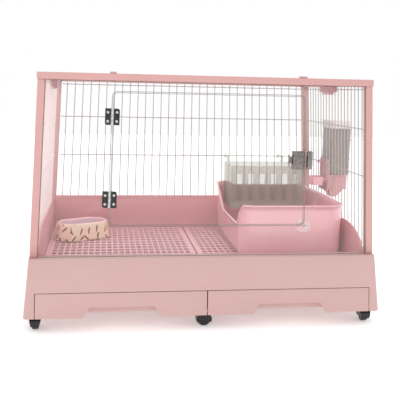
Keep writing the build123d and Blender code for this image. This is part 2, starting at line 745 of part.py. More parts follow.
for spot, turn, name in zip(caster_spots, caster_turn, caster_names):
    ground = caster_plane(spot, turn)
    with BuildPart(ground) as fork:
        # hood: a round-backed cover, wider at the top, open below
        for half_w, z in ((hood_low_half, wheel_r - 6.0), (hood_high_half, hood_top_z)):
            with BuildSketch(ground.offset(z)):
                with Locations((0, trail)):
                    Rectangle(2 * half_w, 2 * hood_r)
        loft(ruled=True)
        with Locations(Location((0, trail, wheel_r), (0, 90, 0))):
            Cylinder(hood_r, 40.0, mode=Mode.INTERSECT)
        with Locations((0, 0, 27.6)):
            Cylinder(9.0, hood_top_z - 27.6, align=(Align.CENTER, Align.CENTER, Align.MIN))
        with Locations(Location((0, trail, wheel_r), (0, 90, 0))):
            Cylinder(wheel_r + 0.9, 2 * wheel_half_w + 1.0, mode=Mode.SUBTRACT)
        with Locations((0, trail, 0)):
            Box(
                2 * wheel_half_w + 1.0,
                2 * wheel_r + 1.8,
                wheel_r,
                align=(Align.CENTER, Align.CENTER, Align.MIN),
                mode=Mode.SUBTRACT,
            )
        with Locations((0, 0, 31.0)):
            Cylinder(stem_r, stem_top_z - 31.0, align=(Align.CENTER, Align.CENTER, Align.MIN))
        with Locations(Location((0, trail, wheel_r), (0, 90, 0))):
            Cylinder(axle_r, 2 * hood_low_half)
    save(fork, f"caster_fork_{name}")

    with BuildPart(ground) as wheel:
        with Locations(Location((0, trail, wheel_r), (0, 90, 0))):
            Cylinder(wheel_r, 2 * wheel_half_w)
        fillet(wheel.edges().filter_by(GeomType.CIRCLE), radius=1.6)
        with Locations(Location((0, trail, wheel_r), (0, 90, 0))):
            Cylinder(axle_r + running_gap, 2 * wheel_half_w + 2, mode=Mode.SUBTRACT)
    save(wheel, f"caster_wheel_{name}")


# Litter tray --------------------------------------------------------------------------------
tray_x = (96.0, 346.0)
tray_y = (-146.0, 210.0)
tray_flare = 4.0
tray_low_z, tray_high_z = floor_z + 0.1, 252.0
tray_peak_z = 263.0  # the back left corner stands higher
tray_wall = 2.6
tray_corner_r = 34.0
tray_lip, tray_lip_h = 3.2, 4.0
tray_middle = ((tray_x[0] + tray_x[1]) / 2, (tray_y[0] + tray_y[1]) / 2)
tray_size = (tray_x[1] - tray_x[0], tray_y[1] - tray_y[0])
entry_low_z = 202.0


def tray_form(low, high, inset):
    """The tray's tapered form between two heights, less a wall."""
    with BuildPart(mode=Mode.PRIVATE) as form:
        for z in (low, high):
            grow = 2 * tray_flare * (z - tray_low_z) / (tray_high_z - tray_low_z) - 2 * inset
            with BuildSketch(Plane.XY.offset(z)):
                with Locations(tray_middle):
                    RectangleRounded(tray_size[0] + grow, tray_size[1] + grow, tray_corner_r - inset)
        loft(ruled=True)
    return form.part


with BuildPart() as tray:
    add(tray_form(tray_low_z, tray_peak_z, 0.0))
    with BuildSketch(Plane.XY.offset(tray_high_z - tray_lip_h)):
        with Locations(tray_middle):
            grow = 2 * (tray_flare + tray_lip)
            RectangleRounded(tray_size[0] + grow, tray_size[1] + grow, tray_corner_r + tray_lip)
    extrude(amount=tray_lip_h)
    add(tray_form(tray_low_z + tray_wall, tray_peak_z + 1.0, tray_wall), mode=Mode.SUBTRACT)
    # everything right of the high corner is cut down to the rim
    with BuildSketch(Plane.XZ.offset(-tray_y[1] - 20.0)):
        Polygon(
            (tray_x[0] + 26.0, tray_peak_z + 2),
            (tray_x[0] + 50.0, tray_high_z),
            (tray_x[1] + 20.0, tray_high_z),
            (tray_x[1] + 20.0, tray_peak_z + 2),
        )
    extrude(amount=tray_size[1] + 60.0, mode=Mode.SUBTRACT)
    # the left wall: high at the back, sloping down to the low way in, and up again at the front
    with BuildSketch(Plane.YZ.offset(tray_x[0] - 12.0)) as way_in:
        with BuildLine():
            high, low = (176.0, tray_peak_z + 2), (72.0, entry_low_z + 4)
            slope = Spline(high, (160.0, tray_peak_z - 8), (112.0, 220.0), low)
            entry = Line(slope @ 1, (-112.0, entry_low_z))
            rise = Spline(entry @ 1, (-124.0, entry_low_z + 12), (-136.0, tray_high_z))
            front = Line(rise @ 1, (-170.0, tray_high_z))
            Polyline(front @ 1, (-170.0, tray_peak_z + 2), slope @ 0)
        make_face()
    extrude(amount=62.0, mode=Mode.SUBTRACT)
save(tray, "litter_tray")

tray_grid_z, tray_grid_t = 146.0, 4.0
tray_hole_pitch, tray_hole, tray_hole_count = (14.0, 20.0), (9.5, 13.0), 15
foot_r, foot_dx, foot_dy = 4.0, 98.0, 157.0
with BuildPart() as tray_grid:
    with BuildSketch(Plane.XY.offset(tray_grid_z)):
        with Locations(tray_middle):
            RectangleRounded(tray_size[0] - 8.0, tray_size[1] - 8.0, tray_corner_r - 5.0)
            with GridLocations(*tray_hole_pitch, tray_hole_count, tray_hole_count):
                Rectangle(*tray_hole, mode=Mode.SUBTRACT)
    extrude(amount=tray_grid_t)
    feet = [(dx, dy) for dx in (-foot_dx, foot_dx) for dy in (-foot_dy, foot_dy)]
    with BuildSketch(Plane.XY.offset(tray_low_z + tray_wall)):
        with Locations(*[(tray_middle[0] + dx, tray_middle[1] + dy) for dx, dy in feet]):
            Circle(foot_r)
    extrude(amount=tray_grid_z - tray_low_z - tray_wall)
save(tray_grid, "litter_grid")


# Hay rack -----------------------------------------------------------------------------------
rack_x = (112.0, 310.0)
rack_y = (75.0, 197.0)
rack_z = (206.0, 320.0)
rack_wall = 2.5
rack_middle_x = (rack_x[0] + rack_x[1]) / 2
rack_slots, rack_slot_pitch, rack_slot_w, rack_slot_h = 6, 31.0, 14.0, 72.0
hook_w, hook_t = 8.0, 3.0
hook_back_y = 244.0  # behind the back wall's uprights
with BuildPart() as rack:
    block(rack_x, rack_y, rack_z)
    fillet(rack.edges().filter_by(Axis.Z), radius=5.0)
    hollow = [(low + rack_wall, high - rack_wall) for low, high in (rack_x, rack_y)]
    block(hollow[0], hollow[1], (rack_z[0] + rack_wall, rack_z[1] + 1), Mode.SUBTRACT)
    # slots to pull the hay through
    with Locations((rack_middle_x, rack_y[0] + rack_wall / 2, (rack_z[0] + rack_z[1]) / 2)):
        with GridLocations(rack_slot_pitch, 1.0, rack_slots, 1):
            Box(rack_slot_w, 2 * rack_wall, rack_slot_h, mode=Mode.SUBTRACT)
    # arms that hook over the back wall's cross wire
    for step in (5.5, 12.5):
        hook_x = lean(step * wire_pitch, cross_wire_z[0])
        arm_x = (hook_x - hook_w / 2, hook_x + hook_w / 2)
        arm_z = cross_wire_z[0] + wire_r + 0.5
        block(arm_x, (rack_y[1] - 5.0, hook_back_y), (arm_z, arm_z + hook_t))
        block(arm_x, (hook_back_y - 2.5, hook_back_y), (arm_z - 8.0, arm_z))
        block(arm_x, (rack_y[1] - rack_wall, rack_y[1]), (rack_z[1] - 3.0, arm_z + hook_t))
save(rack, "hay_rack")


# Water dispenser ----------------------------------------------------------------------------
neck_y = 2.5 * wire_pitch  # midway between two wires of the right wall
tank_x = (374.0, 428.0)
tank_y = (45.0, 125.0)
tank_z = (301.0, 425.0)
tank_corner_r = 8.0
tank_wall = 2.0
tank_middle = ((tank_x[0] + tank_x[1]) / 2, (tank_y[0] + tank_y[1]) / 2)
cap_h = 20.0
plate_x = (368.5, 371.5)  # the plate that hangs on the wire wall, on its outer side
plate_y = (48.0, 118.0)
cup_z = (274.0, 296.0)
cup_wall = 2.4
neck_z = 285.0
neck_r = 5.0


def tank_outline(grow):
    """A sketch rectangle round the tank's middle, larger or smaller than the tank all round."""
    with Locations(tank_middle):
        width = tank_x[1] - tank_x[0] + 2 * grow
        depth = tank_y[1] - tank_y[0] + 2 * grow
        RectangleRounded(width, depth, tank_corner_r + grow)


with BuildPart() as bracket:
    block(plate_x, plate_y, (256.0, 341.0))
    # the base that the tank stands in, with a gabled front and a flared foot
    block((plate_x[0], 424.0), plate_y, (262.0, tank_z[0] - 0.1))
    fillet(bracket.edges().filter_by(Axis.Z).group_by(Axis.X)[-1], radius=8.0)
    with BuildSketch(Plane.XZ.offset(-plate_y[0])):
        Polygon((383.0, 256.0), (383.0, 288.0), (393.0, 299.0), (403.0, 288.0), (403.0, 256.0))
    extrude(amount=4.0)
    for z, left, right, depth in ((262.0, 373.0, 412.0, 56.0), (240.0, 382.0, 396.0, 30.0)):
        with BuildSketch(Plane.XY.offset(z)):
            with Locations(((left + right) / 2, 72.0)):
                Rectangle(right - left, depth)
    loft(ruled=True)
    # hooks through the wall and over its cross wire
    for step in (3.5, 4.5):
        hook_y = step * wire_pitch
        wire_x = lean(side_wire_x, cross_wire_z[0]) - cross_offset
        arm_z = cross_wire_z[0] + wire_r + 0.4
        block((wire_x - 4.5, 370.0), (hook_y - 3.5, hook_y + 3.5), (arm_z, arm_z + 3.0))
        block((wire_x - 4.5, wire_x - 2.0), (hook_y - 3.5, hook_y + 3.5), (arm_z - 7.0, arm_z))
    # neck that passes between two wires to the drinking cup
    with BuildSketch(Plane.YZ.offset(352.0)):
        with Locations((neck_y, neck_z)):
            Circle(neck_r)
    extrude(amount=18.0)
save(bracket, "water_bracket")

with BuildPart() as tank:
    with BuildSketch(Plane.XY.offset(tank_z[0])):
        tank_outline(0.0)
    extrude(amount=tank_z[1] - tank_z[0])
    fillet(tank.edges().group_by(Axis.Z)[0], radius=2.0)
    with BuildSketch(Plane.XY.offset(tank_z[0] + tank_wall)):
        tank_outline(-tank_wall)
    extrude(amount=tank_z[1], mode=Mode.SUBTRACT)
save(tank, "water_tank")

with BuildPart() as cap:
    with BuildSketch(Plane.XY.offset(tank_z[1] + 0.1)):
        tank_outline(2.0)
    extrude(amount=cap_h)
    fillet(cap.edges().group_by(Axis.Z)[-1], radius=3.0)
    with BuildSketch(Plane.XY.offset(tank_z[1] - 6.0)):
        tank_outline(-tank_wall - 0.4)
    extrude(amount=6.1)
save(cap, "water_cap")

with BuildPart() as cup:
    cup_x, cup_y = (322.0, 352.0), (neck_y - 19.0, neck_y + 19.0)
    block(cup_x, cup_y, cup_z)
    fillet(cup.edges().filter_by(Axis.Z).group_by(Axis.X)[0], radius=10.0)
    cup_hollow = [(low + cup_wall, high - cup_wall) for low, high in (cup_x, cup_y)]
    block(cup_hollow[0], cup_hollow[1], (cup_z[0] + cup_wall, cup_z[1] + 1.0), Mode.SUBTRACT)
save(cup, "water_cup")


# Food bowl ----------------------------------------------------------------------------------
bowl_middle = (-281.0, 98.0)
bowl_turn = 27.0
bowl_h = 45.0
bowl_half_w, bowl_half_d, bowl_cut = 75.0, 44.0, 24.0
bowl_taper_w, bowl_taper_d = 9.0, 5.0  # how much less the half sizes are at the rim
bowl_wall, bowl_bottom = 6.0, 7.0
bowl_low_z = floor_z + 0.1
bowl_along = (cos(radians(bowl_turn)), sin(radians(bowl_turn)), 0)
bowl_plane = Plane(origin=(*bowl_middle, bowl_low_z), x_dir=bowl_along, z_dir=(0, 0, 1))


def bowl_form(low, high, inset):
    """The bowl's long eight-cornered form, a little narrower at the top."""
    with BuildPart(bowl_plane, mode=Mode.PRIVATE) as form:
        for z in (low, high):
            half_w = bowl_half_w - bowl_taper_w * z / bowl_h - inset
            half_d = bowl_half_d - bowl_taper_d * z / bowl_h - inset
            cut = bowl_cut
            with BuildSketch(bowl_plane.offset(z)):
                Polygon(
                    (-half_w, -half_d + cut),
                    (-half_w + cut, -half_d),
                    (half_w - cut, -half_d),
                    (half_w, -half_d + cut),
                    (half_w, half_d - cut),
                    (half_w - cut, half_d),
                    (-half_w + cut, half_d),
                    (-half_w, half_d - cut),
                )
        loft(ruled=True)
    return form.part


with BuildPart() as bowl:
    add(bowl_form(0.0, bowl_h, 0.0))
    add(bowl_form(bowl_bottom, bowl_h + 1.0, bowl_wall), mode=Mode.SUBTRACT)
save(bowl, "food_bowl")
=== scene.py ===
# %% [markdown]
# # A rabbit cage on wheels
# This lesson dresses the exact model of a pink rabbit cage for a studio picture. The exact
# model gives every place and size, so nothing here is fitted by eye: each piece repeats the
# measures of the exact part that it stands for.

# %% The exact model
import json
from math import cos, pi, radians, sin

import bmesh
import bpy
from mathutils import Matrix, Vector


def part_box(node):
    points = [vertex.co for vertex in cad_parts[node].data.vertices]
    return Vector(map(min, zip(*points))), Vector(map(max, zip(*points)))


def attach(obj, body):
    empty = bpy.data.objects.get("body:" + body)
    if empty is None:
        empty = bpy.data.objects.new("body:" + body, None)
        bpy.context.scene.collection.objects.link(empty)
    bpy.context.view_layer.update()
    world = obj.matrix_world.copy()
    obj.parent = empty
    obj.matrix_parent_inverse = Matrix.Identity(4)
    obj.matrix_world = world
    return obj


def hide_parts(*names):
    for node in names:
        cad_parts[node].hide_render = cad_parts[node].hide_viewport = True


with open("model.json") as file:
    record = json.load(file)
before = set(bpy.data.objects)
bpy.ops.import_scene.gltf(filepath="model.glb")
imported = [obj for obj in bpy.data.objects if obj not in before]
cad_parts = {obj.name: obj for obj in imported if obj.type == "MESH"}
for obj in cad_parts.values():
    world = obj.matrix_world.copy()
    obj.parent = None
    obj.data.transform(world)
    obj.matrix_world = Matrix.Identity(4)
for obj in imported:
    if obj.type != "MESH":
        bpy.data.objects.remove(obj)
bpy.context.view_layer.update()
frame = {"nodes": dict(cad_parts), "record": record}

MM = 0.001

# %% [markdown]
# ## The sizes that several pieces share
# The upright parts of the cage lean inwards: a place across the cage shrinks in proportion to
# its height above the rim of the base. One rule, used by every wall, keeps them all in line.

# %% Shared sizes
rim_z = 158 * MM
post_foot_x, post_head_x = 380 * MM, 362 * MM
lean_rate = (1 - post_head_x / post_foot_x) / (550 * MM - rim_z)
wire_pitch = 22.88 * MM
wire_radius = 1.3 * MM
hinge_line_x = -216.35 * MM
floor_top_z = 125.6 * MM  # what stands on the floor grids starts here
print("lean of the walls, share per metre:", round(lean_rate, 4))

# %% [markdown]
# ## The camera
# The lens is a little long, about 60 mm on a 36 mm sensor, and stands left of the middle and
# higher than the roof. A small downward shift keeps the whole cage in the square picture.


# %% Camera
def aim(yaw, pitch, roll):
    """A camera's turn: yaw from +Y towards +X, pitch downwards, and roll about the view."""
    forward = Vector((sin(yaw) * cos(pitch), cos(yaw) * cos(pitch), -sin(pitch)))
    level = Vector((cos(yaw), -sin(yaw), 0))
    upright = level.cross(forward)
    right = level * cos(roll) + upright * sin(roll)
    up = upright * cos(roll) - level * sin(roll)
    return Matrix((right, up, -forward)).transposed().to_4x4()


lens = bpy.data.cameras.new("studio_camera")
lens.sensor_width = 36
lens.lens = 60.8
lens.shift_y = -0.12
camera = bpy.data.objects.new("studio_camera", lens)
camera_place = Vector((-0.2243, -1.6829, 0.5193))
camera_turn = aim(yaw=radians(8.08), pitch=radians(5.24), roll=radians(1.26))
camera.matrix_world = Matrix.Translation(camera_place) @ camera_turn
bpy.context.scene.collection.objects.link(camera)
bpy.context.scene.camera = camera
print("camera at", [round(v, 3) for v in camera.location])

# %% [markdown]
# ## Studio light
# A bright even surround does most of the work, as a white tent does in a product studio. A
# large soft panel in front and above gives the mouldings their gentle highlights.


# %% Lights and floor
def panel_light(name, place, target, size, power):
    """A square soft light that faces a target."""
    lamp = bpy.data.lights.new(name, "AREA")
    lamp.size = size
    lamp.energy = power
    holder = bpy.data.objects.new(name, lamp)
    holder.location = place
    holder.rotation_euler = (Vector(target) - Vector(place)).to_track_quat("-Z", "Y").to_euler()
    bpy.context.scene.collection.objects.link(holder)
    return holder


surround = bpy.data.worlds.new("white_tent")
surround.use_nodes = True
surround.node_tree.nodes["Background"].inputs["Color"].default_value = (1, 1, 1, 1)
surround.node_tree.nodes["Background"].inputs["Strength"].default_value = 1.0
bpy.context.scene.world = surround
bpy.context.scene.view_settings.view_transform = "Standard"
panel_size = 1.6
panel_light("front_panel", (-1.4, -2.2, 2.2), (0, 0, 0.25), panel_size, power=10)
panel_light("top_panel", (0.4, 0.3, 2.4), (0, 0, 0.2), panel_size, power=8)

# %% [markdown]
# ## Making materials
# One small function adds a node, its settings and whatever feeds it. Colours are written as the
# hex values that painters and web pages use, and one function turns them to linear light.


# %% Node and colour helpers
def node(tree, kind, feeds=None, **settings):
    """Adds a node. feeds gives an input's value, or the output that is linked to it."""
    made = tree.nodes.new(kind)
    for name, value in settings.items():
        setattr(made, name, value)
    for key, value in (feeds or {}).items():
        if isinstance(value, bpy.types.NodeSocket):
            tree.links.new(value, made.inputs[key])
        else:
            made.inputs[key].default_value = value
    return made


def linear(code):
    """An sRGB hex colour as linear red, green, blue and alpha."""
    parts = [int(code[i : i + 2], 16) / 255 for i in (1, 3, 5)]
    return [c / 12.92 if c <= 0.04045 else ((c + 0.055) / 1.055) ** 2.4 for c in parts] + [1.0]


def new_material(name):
    """An empty material, its node tree, and its shader."""
    material = bpy.data.materials.new(name)
    material.use_nodes = True
    tree = material.node_tree
    return material, tree, tree.nodes["Principled BSDF"]


# %% [markdown]
# ## Moulded plastics
# ABS and polypropylene come out of a steel mould whose surface was spark-eroded, so the plastic
# has a fine even grain, broad faint flow marks, and a soft sheen. A broad noise drifts the
# colour a little, and a fine one gives the grain. The grain is really about 0.2 mm; here it is
# drawn at about a millimetre, so that it shows.


# %% Moulded plastic
def moulded_plastic(name, light, deep, roughness, grain_mm=1.2, grain_depth=0.05, coat=0.0):
    """A spark-eroded moulded plastic that drifts between a light and a deep shade."""
    material, tree, shader = new_material(name)
    place = node(tree, "ShaderNodeTexCoord").outputs["Object"]
    flow = node(tree, "ShaderNodeTexNoise", {"Vector": place, "Scale": 9.0, "Detail": 3.0})
    fine = {"Vector": place, "Scale": 1 / (grain_mm * MM), "Detail": 2.0}
    grain = node(tree, "ShaderNodeTexNoise", fine)
    shade = node(tree, "ShaderNodeMix", {"Factor": flow.outputs["Fac"]}, data_type="RGBA")
    shade.inputs["A"].default_value = linear(light)
    shade.inputs["B"].default_value = linear(deep)
    sheen = node(
        tree,
        "ShaderNodeMapRange",
        {"Value": grain.outputs["Fac"], "To Min": roughness - 0.06, "To Max": roughness + 0.06},
    )
    relief = node(
        tree,
        "ShaderNodeBump",
        {"Height": grain.outputs["Fac"], "Strength": grain_depth, "Distance": 0.2 * MM},
    )
    tree.links.new(shade.outputs["Result"], shader.inputs["Base Color"])
    tree.links.new(sheen.outputs["Result"], shader.inputs["Roughness"])
    tree.links.new(relief.outputs["Normal"], shader.inputs["Normal"])
    shader.inputs["IOR"].default_value = 1.54
    shader.inputs["Coat Weight"].default_value = coat
    shader.inputs["Coat Roughness"].default_value = 0.12
    return material


base_abs = moulded_plastic("pink_abs_base_satin", "#C9A6A2", "#C39F9B", 0.42)
frame_abs = moulded_plastic("pink_abs_frame_satin", "#D0A19D", "#C99894", 0.40)
tub_abs = moulded_plastic("deep_pink_abs_tub", "#E4A3A6", "#DA989B", 0.38)
# painted shade: the lock housings are a deeper pink than the frame, standing in for the shade round them
lock_abs_painted_shade = moulded_plastic("pink_abs_lock_painted_shade", "#B87E80", "#AC7376", 0.42)
grid_pp = moulded_plastic("pink_polypropylene_floor_grid", "#F2BEC3", "#EAB1B7", 0.45)
tray_pp = moulded_plastic("rose_polypropylene_tray_gloss", "#FCC3C9", "#F6B4BB", 0.2, 1.6, 0.03, 0.6)
# painted shade: a dark mauve for the inside of the drawer pans, seen through the floor grids
pan_painted_shade = moulded_plastic("drawer_pan_painted_shade", "#4A2C30", "#3C2326", 0.6)
cap_pp = moulded_plastic("white_polypropylene_cap", "#EDE6E4", "#E4DBD9", 0.45)
black_nylon = moulded_plastic("black_nylon_moulded", "#0C0B0C", "#060606", 0.32, 1.0, 0.08)
print("moulded plastics:", [m.name for m in (base_abs, frame_abs, tub_abs, lock_abs_painted_shade, grid_pp, tray_pp)])

# %% [markdown]
# ## Powder-coated wire
# Steel wire is sprayed with dry paint and baked. The coat is a little uneven, like orange peel,
# about 1.5 mm from crest to crest, over metal that no longer shows.


# %% Powder coat
def powder_coat(name, light, deep):
    """Baked powder paint on steel wire, with its orange-peel surface."""
    material, tree, shader = new_material(name)
    place = node(tree, "ShaderNodeTexCoord").outputs["Object"]
    peel = node(tree, "ShaderNodeTexNoise", {"Vector": place, "Scale": 1 / (1.5 * MM), "Detail": 1.0})
    drift = node(tree, "ShaderNodeTexNoise", {"Vector": place, "Scale": 14.0, "Detail": 2.0})
    shade = node(tree, "ShaderNodeMix", {"Factor": drift.outputs["Fac"]}, data_type="RGBA")
    shade.inputs["A"].default_value = linear(light)
    shade.inputs["B"].default_value = linear(deep)
    relief = node(
        tree, "ShaderNodeBump", {"Height": peel.outputs["Fac"], "Strength": 0.15, "Distance": 0.15 * MM}
    )
    tree.links.new(shade.outputs["Result"], shader.inputs["Base Color"])
    tree.links.new(relief.outputs["Normal"], shader.inputs["Normal"])
    shader.inputs["Roughness"].default_value = 0.34
    shader.inputs["IOR"].default_value = 1.5
    return material


wire_coat = powder_coat("pale_powder_coated_wire", "#BDB5B3", "#ABA2A0")
# painted light: the left wall gets a lighter copy of the same coat, standing in for the light on its wires
left_wire_coat_painted_light = powder_coat("wire_coat_painted_light", "#FBEAE8", "#F3DEDC")

# %% [markdown]
# ## Clear sheets
# Acrylic lets nearly all light through, and only reflects at a glancing angle. A low alpha that
# rises towards the edge of a curved face gives that, and lets light into the cage. The sawn rim
# of a sheet is matt and scatters light, so rims get their own, greyer and denser, finish.


# %% Clear plastic
def clear_plastic(name, tint, facing, glancing, roughness, ripple_mm):
    """A see-through plastic: alpha rises from facing to glancing, with a slight ripple."""
    material, tree, shader = new_material(name)
    place = node(tree, "ShaderNodeTexCoord").outputs["Object"]
    waves = {"Vector": place, "Scale": 1 / (ripple_mm * MM), "Detail": 1.0}
    ripple = node(tree, "ShaderNodeTexNoise", waves)
    relief = node(
        tree, "ShaderNodeBump", {"Height": ripple.outputs["Fac"], "Strength": 0.04, "Distance": 0.5 * MM}
    )
    facing_share = node(tree, "ShaderNodeLayerWeight", {"Blend": 0.3}).outputs["Facing"]
    alpha = node(
        tree, "ShaderNodeMapRange", {"Value": facing_share, "To Min": facing, "To Max": glancing}
    )
    tree.links.new(relief.outputs["Normal"], shader.inputs["Normal"])
    tree.links.new(alpha.outputs["Result"], shader.inputs["Alpha"])
    shader.inputs["Base Color"].default_value = linear(tint)
    shader.inputs["Roughness"].default_value = roughness
    shader.inputs["IOR"].default_value = 1.49
    return material


acrylic_face = clear_plastic("cast_acrylic_sheet_polished", "#F6FAFA", 0.03, 0.3, 0.03, 120)
acrylic_rim = clear_plastic("cast_acrylic_sawn_rim", "#9C9693", 0.85, 0.98, 0.35, 6)
stop_acrylic = clear_plastic("cast_acrylic_stop_plate", "#F3DEDD", 0.22, 0.8, 0.08, 20)
rack_plastic = clear_plastic("smoke_polystyrene_rack", "#B3AB98", 0.30, 0.78, 0.12, 25)
tank_plastic = clear_plastic("frosted_polypropylene_tank", "#A8988F", 0.62, 0.95, 0.35, 18)

# %% [markdown]
# ## Metals
# Zinc-plated screws are pale and slightly brushed. The latch is cast zinc with a dark plating
# whose reflections are broken up by the casting's own waves, a few millimetres long. Its catch
# has the same plating, worn brighter.


# %% Metals
def plated_metal(name, light, deep, roughness, wave_mm, wave_depth):
    """A plated metal whose reflections are broken up by waves of a given length."""
    material, tree, shader = new_material(name)
    place = node(tree, "ShaderNodeTexCoord").outputs["Object"]
    wave = node(tree, "ShaderNodeTexNoise", {"Vector": place, "Scale": 1 / (wave_mm * MM), "Detail": 2.0})
    shade = node(tree, "ShaderNodeMix", {"Factor": wave.outputs["Fac"]}, data_type="RGBA")
    shade.inputs["A"].default_value = linear(light)
    shade.inputs["B"].default_value = linear(deep)
    swell = {"Height": wave.outputs["Fac"], "Strength": wave_depth, "Distance": 0.5 * MM}
    relief = node(tree, "ShaderNodeBump", swell)
    tree.links.new(shade.outputs["Result"], shader.inputs["Base Color"])
    tree.links.new(relief.outputs["Normal"], shader.inputs["Normal"])
    shader.inputs["Metallic"].default_value = 1.0
    shader.inputs["Roughness"].default_value = roughness
    return material


zinc = plated_metal("zinc_plated_steel", "#D8D8D6", "#B9B9B8", 0.28, 3, 0.1)
dark_plate = plated_metal("dark_plated_cast_zinc", "#A39A96", "#4A4543", 0.22, 4, 0.8)
bright_plate = plated_metal("bright_plated_cast_zinc", "#A9A4A1", "#4A4644", 0.2, 5, 0.6)
print("metals:", zinc.name, dark_plate.name)

# %% [markdown]
# ## Finishing a piece
# Every new piece rides on the moving body of the exact part that it stands for, and hides it.


# %% Finishing helpers
bodies = frame["record"]["behaviour"]["bodies"]
body_of_node = {name: body for body, names in bodies.items() for name in names}


def as_piece(name, mesh, *materials):
    """A mesh as an object at the origin, with its materials."""
    piece = bpy.data.objects.new(name, mesh)
    bpy.context.scene.collection.objects.link(piece)
    which = [face.material_index if len(materials) > 1 else 0 for face in mesh.polygons]
    mesh.materials.clear()
    for material in materials:
        mesh.materials.append(material)
    mesh.polygons.foreach_set("material_index", which)
    return piece


def stands_for(piece, *names):
    """The piece moves with these exact parts, and is shown in their place."""
    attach(piece, body_of_node[names[0]])
    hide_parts(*names)
    return piece


def finish_node(name, material):
    """Gives an exact part that stays in view its material."""
    part = frame["nodes"][name]
    part.data.materials.clear()
    part.data.materials.append(material)


def mesh_from(name, builder):
    """A bmesh turned to a mesh, with its normals facing outwards."""
    bmesh.ops.recalc_face_normals(builder, faces=builder.faces)
    mesh = bpy.data.meshes.new(name)
    builder.to_mesh(mesh)
    builder.free()
    return mesh


# %% [markdown]
# ## Mouldings with softened edges
# No moulding has a knife edge: the mould is rounded so that the part comes out and doesn't cut.
# A copy of the exact part is merged into one skin, its flat faces are joined, and its sharp
# edges are rounded by about a millimetre. The thin highlight that this gives is what makes a
# plastic part look real. The width isn't clamped: one short edge would thin every other one.


# %% Softened copies
def softened(name, width_mm, *materials, segments=2, sharp=radians(35)):
    """A copy of an exact part with every sharp edge rounded."""
    builder = bmesh.new()
    builder.from_mesh(frame["nodes"][name].data)
    bmesh.ops.remove_doubles(builder, verts=builder.verts, dist=0.05 * MM)
    bmesh.ops.dissolve_limit(
        builder, angle_limit=radians(0.5), verts=builder.verts, edges=builder.edges, delimit={"NORMAL"}
    )
    mesh = bpy.data.meshes.new(name + "_soft")
    builder.to_mesh(mesh)
    builder.free()
    piece = as_piece(name + "_soft", mesh, *materials)
    for face in mesh.polygons:
        face.use_smooth = True
    rounding = piece.modifiers.new("rounded edges", "BEVEL")
    rounding.width = width_mm * MM
    rounding.segments = segments
    rounding.limit_method = "ANGLE"
    rounding.angle_limit = sharp
    rounding.use_clamp_overlap = False
    rounding.harden_normals = True
    rounding.miter_outer = "MITER_ARC"
    return piece


def plain_mesh(piece):
    """Replaces a piece's mesh by what its modifiers make of it."""
    bpy.context.view_layer.update()
    shown = piece.evaluated_get(bpy.context.evaluated_depsgraph_get())
    mesh = bpy.data.meshes.new_from_object(shown)
    piece.modifiers.clear()
    old = piece.data
    piece.data = mesh
    bpy.data.meshes.remove(old)
    return piece


moulded = {
    "base": (1.3, base_abs),
    "drawer_left": (1.0, base_abs),
    "drawer_right": (1.0, base_abs),
    "splash_guard_back": (0.8, tub_abs),
    "splash_guard_left": (0.8, tub_abs),
    # the lock's deeper pink is painted shade
    "splash_guard_right": (0.8, tub_abs),
    "side_lock_housings": (0.6, lock_abs_painted_shade),
    "side_lock_slider_left": (0.5, frame_abs),
    "side_lock_slider_right": (0.5, frame_abs),
    "roof_clip_left": (0.6, frame_abs),
    "roof_clip_right": (0.6, frame_abs),
    "water_bracket": (0.8, tub_abs),
    "hinge_leaves_fixed": (0.5, black_nylon),
    "hinge_leaves_door": (0.5, black_nylon),
    "latch_body": (0.8, dark_plate),
    "latch_catch": (0.8, bright_plate),
    "latch_bolt": (0.4, dark_plate),
}
for side in ("left", "right"):
    moulded[f"rail_{side}"] = (1.2, frame_abs)
    moulded[f"post_front_{side}"] = (1.2, frame_abs)
    moulded[f"post_back_{side}"] = (1.2, frame_abs)
for end in ("front", "back"):
    moulded[f"rail_{end}"] = (1.2, frame_abs)
for name, (width, material) in moulded.items():
    stands_for(plain_mesh(softened(name, width, material)), name)
print("softened mouldings:", len(moulded))


front_thickness, skin, pan_rise = 14 * MM, 1 * MM, 9.5 * MM


def inside_pan(face, low, high):
    """Whether a drawer's face is the pan's floor from above, or the inner side of its walls."""
    behind_front = low.y + front_thickness < face.center.y < high.y - skin
    towards = (low + high) / 2 - face.center
    inward = face.normal.x * towards.x + face.normal.y * towards.y > 0 and abs(face.normal.z) < 0.5
    return behind_front and face.center.z > low.z + pan_rise and (face.normal.z > 0.5 or inward)


def paint_pan_shade(name):
    """Paints shade on the inside of a drawer's pan: its floor and inner walls take a darker finish."""
    mesh = bpy.data.objects[name + "_soft"].data
    low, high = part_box(name)
    mesh.materials.append(pan_painted_shade)
    for face in mesh.polygons:
        if inside_pan(face, low, high):
            face.material_index = 1


for name in ("drawer_left", "drawer_right"):
    paint_pan_shade(name)


knuckle_radius = 3 * MM


def knuckles_painted_light(name):
    """The knuckles along the hinge line take pale zinc: painted light for the bright line between the two
    leaves.
    """
    mesh = bpy.data.objects[name + "_soft"].data
    mesh.materials.append(zinc)
    for face in mesh.polygons:
        line = hinge_line_x * (1 - lean_rate * (face.center.z - rim_z))
        if abs(face.center.x - line) < knuckle_radius:
            face.material_index = 1


for name in ("hinge_leaves_fixed", "hinge_leaves_door"):
    knuckles_painted_light(name)

# %% [markdown]
# ## Wires in rows
# A wire wall is one wire repeated, with a few wires across. Geometry Nodes suits that: one rod
# is swept along a line, and set out along a row of points. The lean of the walls is then put on
# every point at once. Each wall is made of rows with the same recipe and other numbers.


# %% The recipe for a row of rods
def sockets(tree, wanted):
    """Adds the tree's named inputs and its geometry output."""
    for name, kind in wanted.items():
        tree.interface.new_socket(name, in_out="INPUT", socket_type=kind)
    tree.interface.new_socket("Geometry", in_out="OUTPUT", socket_type="NodeSocketGeometry")
    return node(tree, "NodeGroupInput").outputs


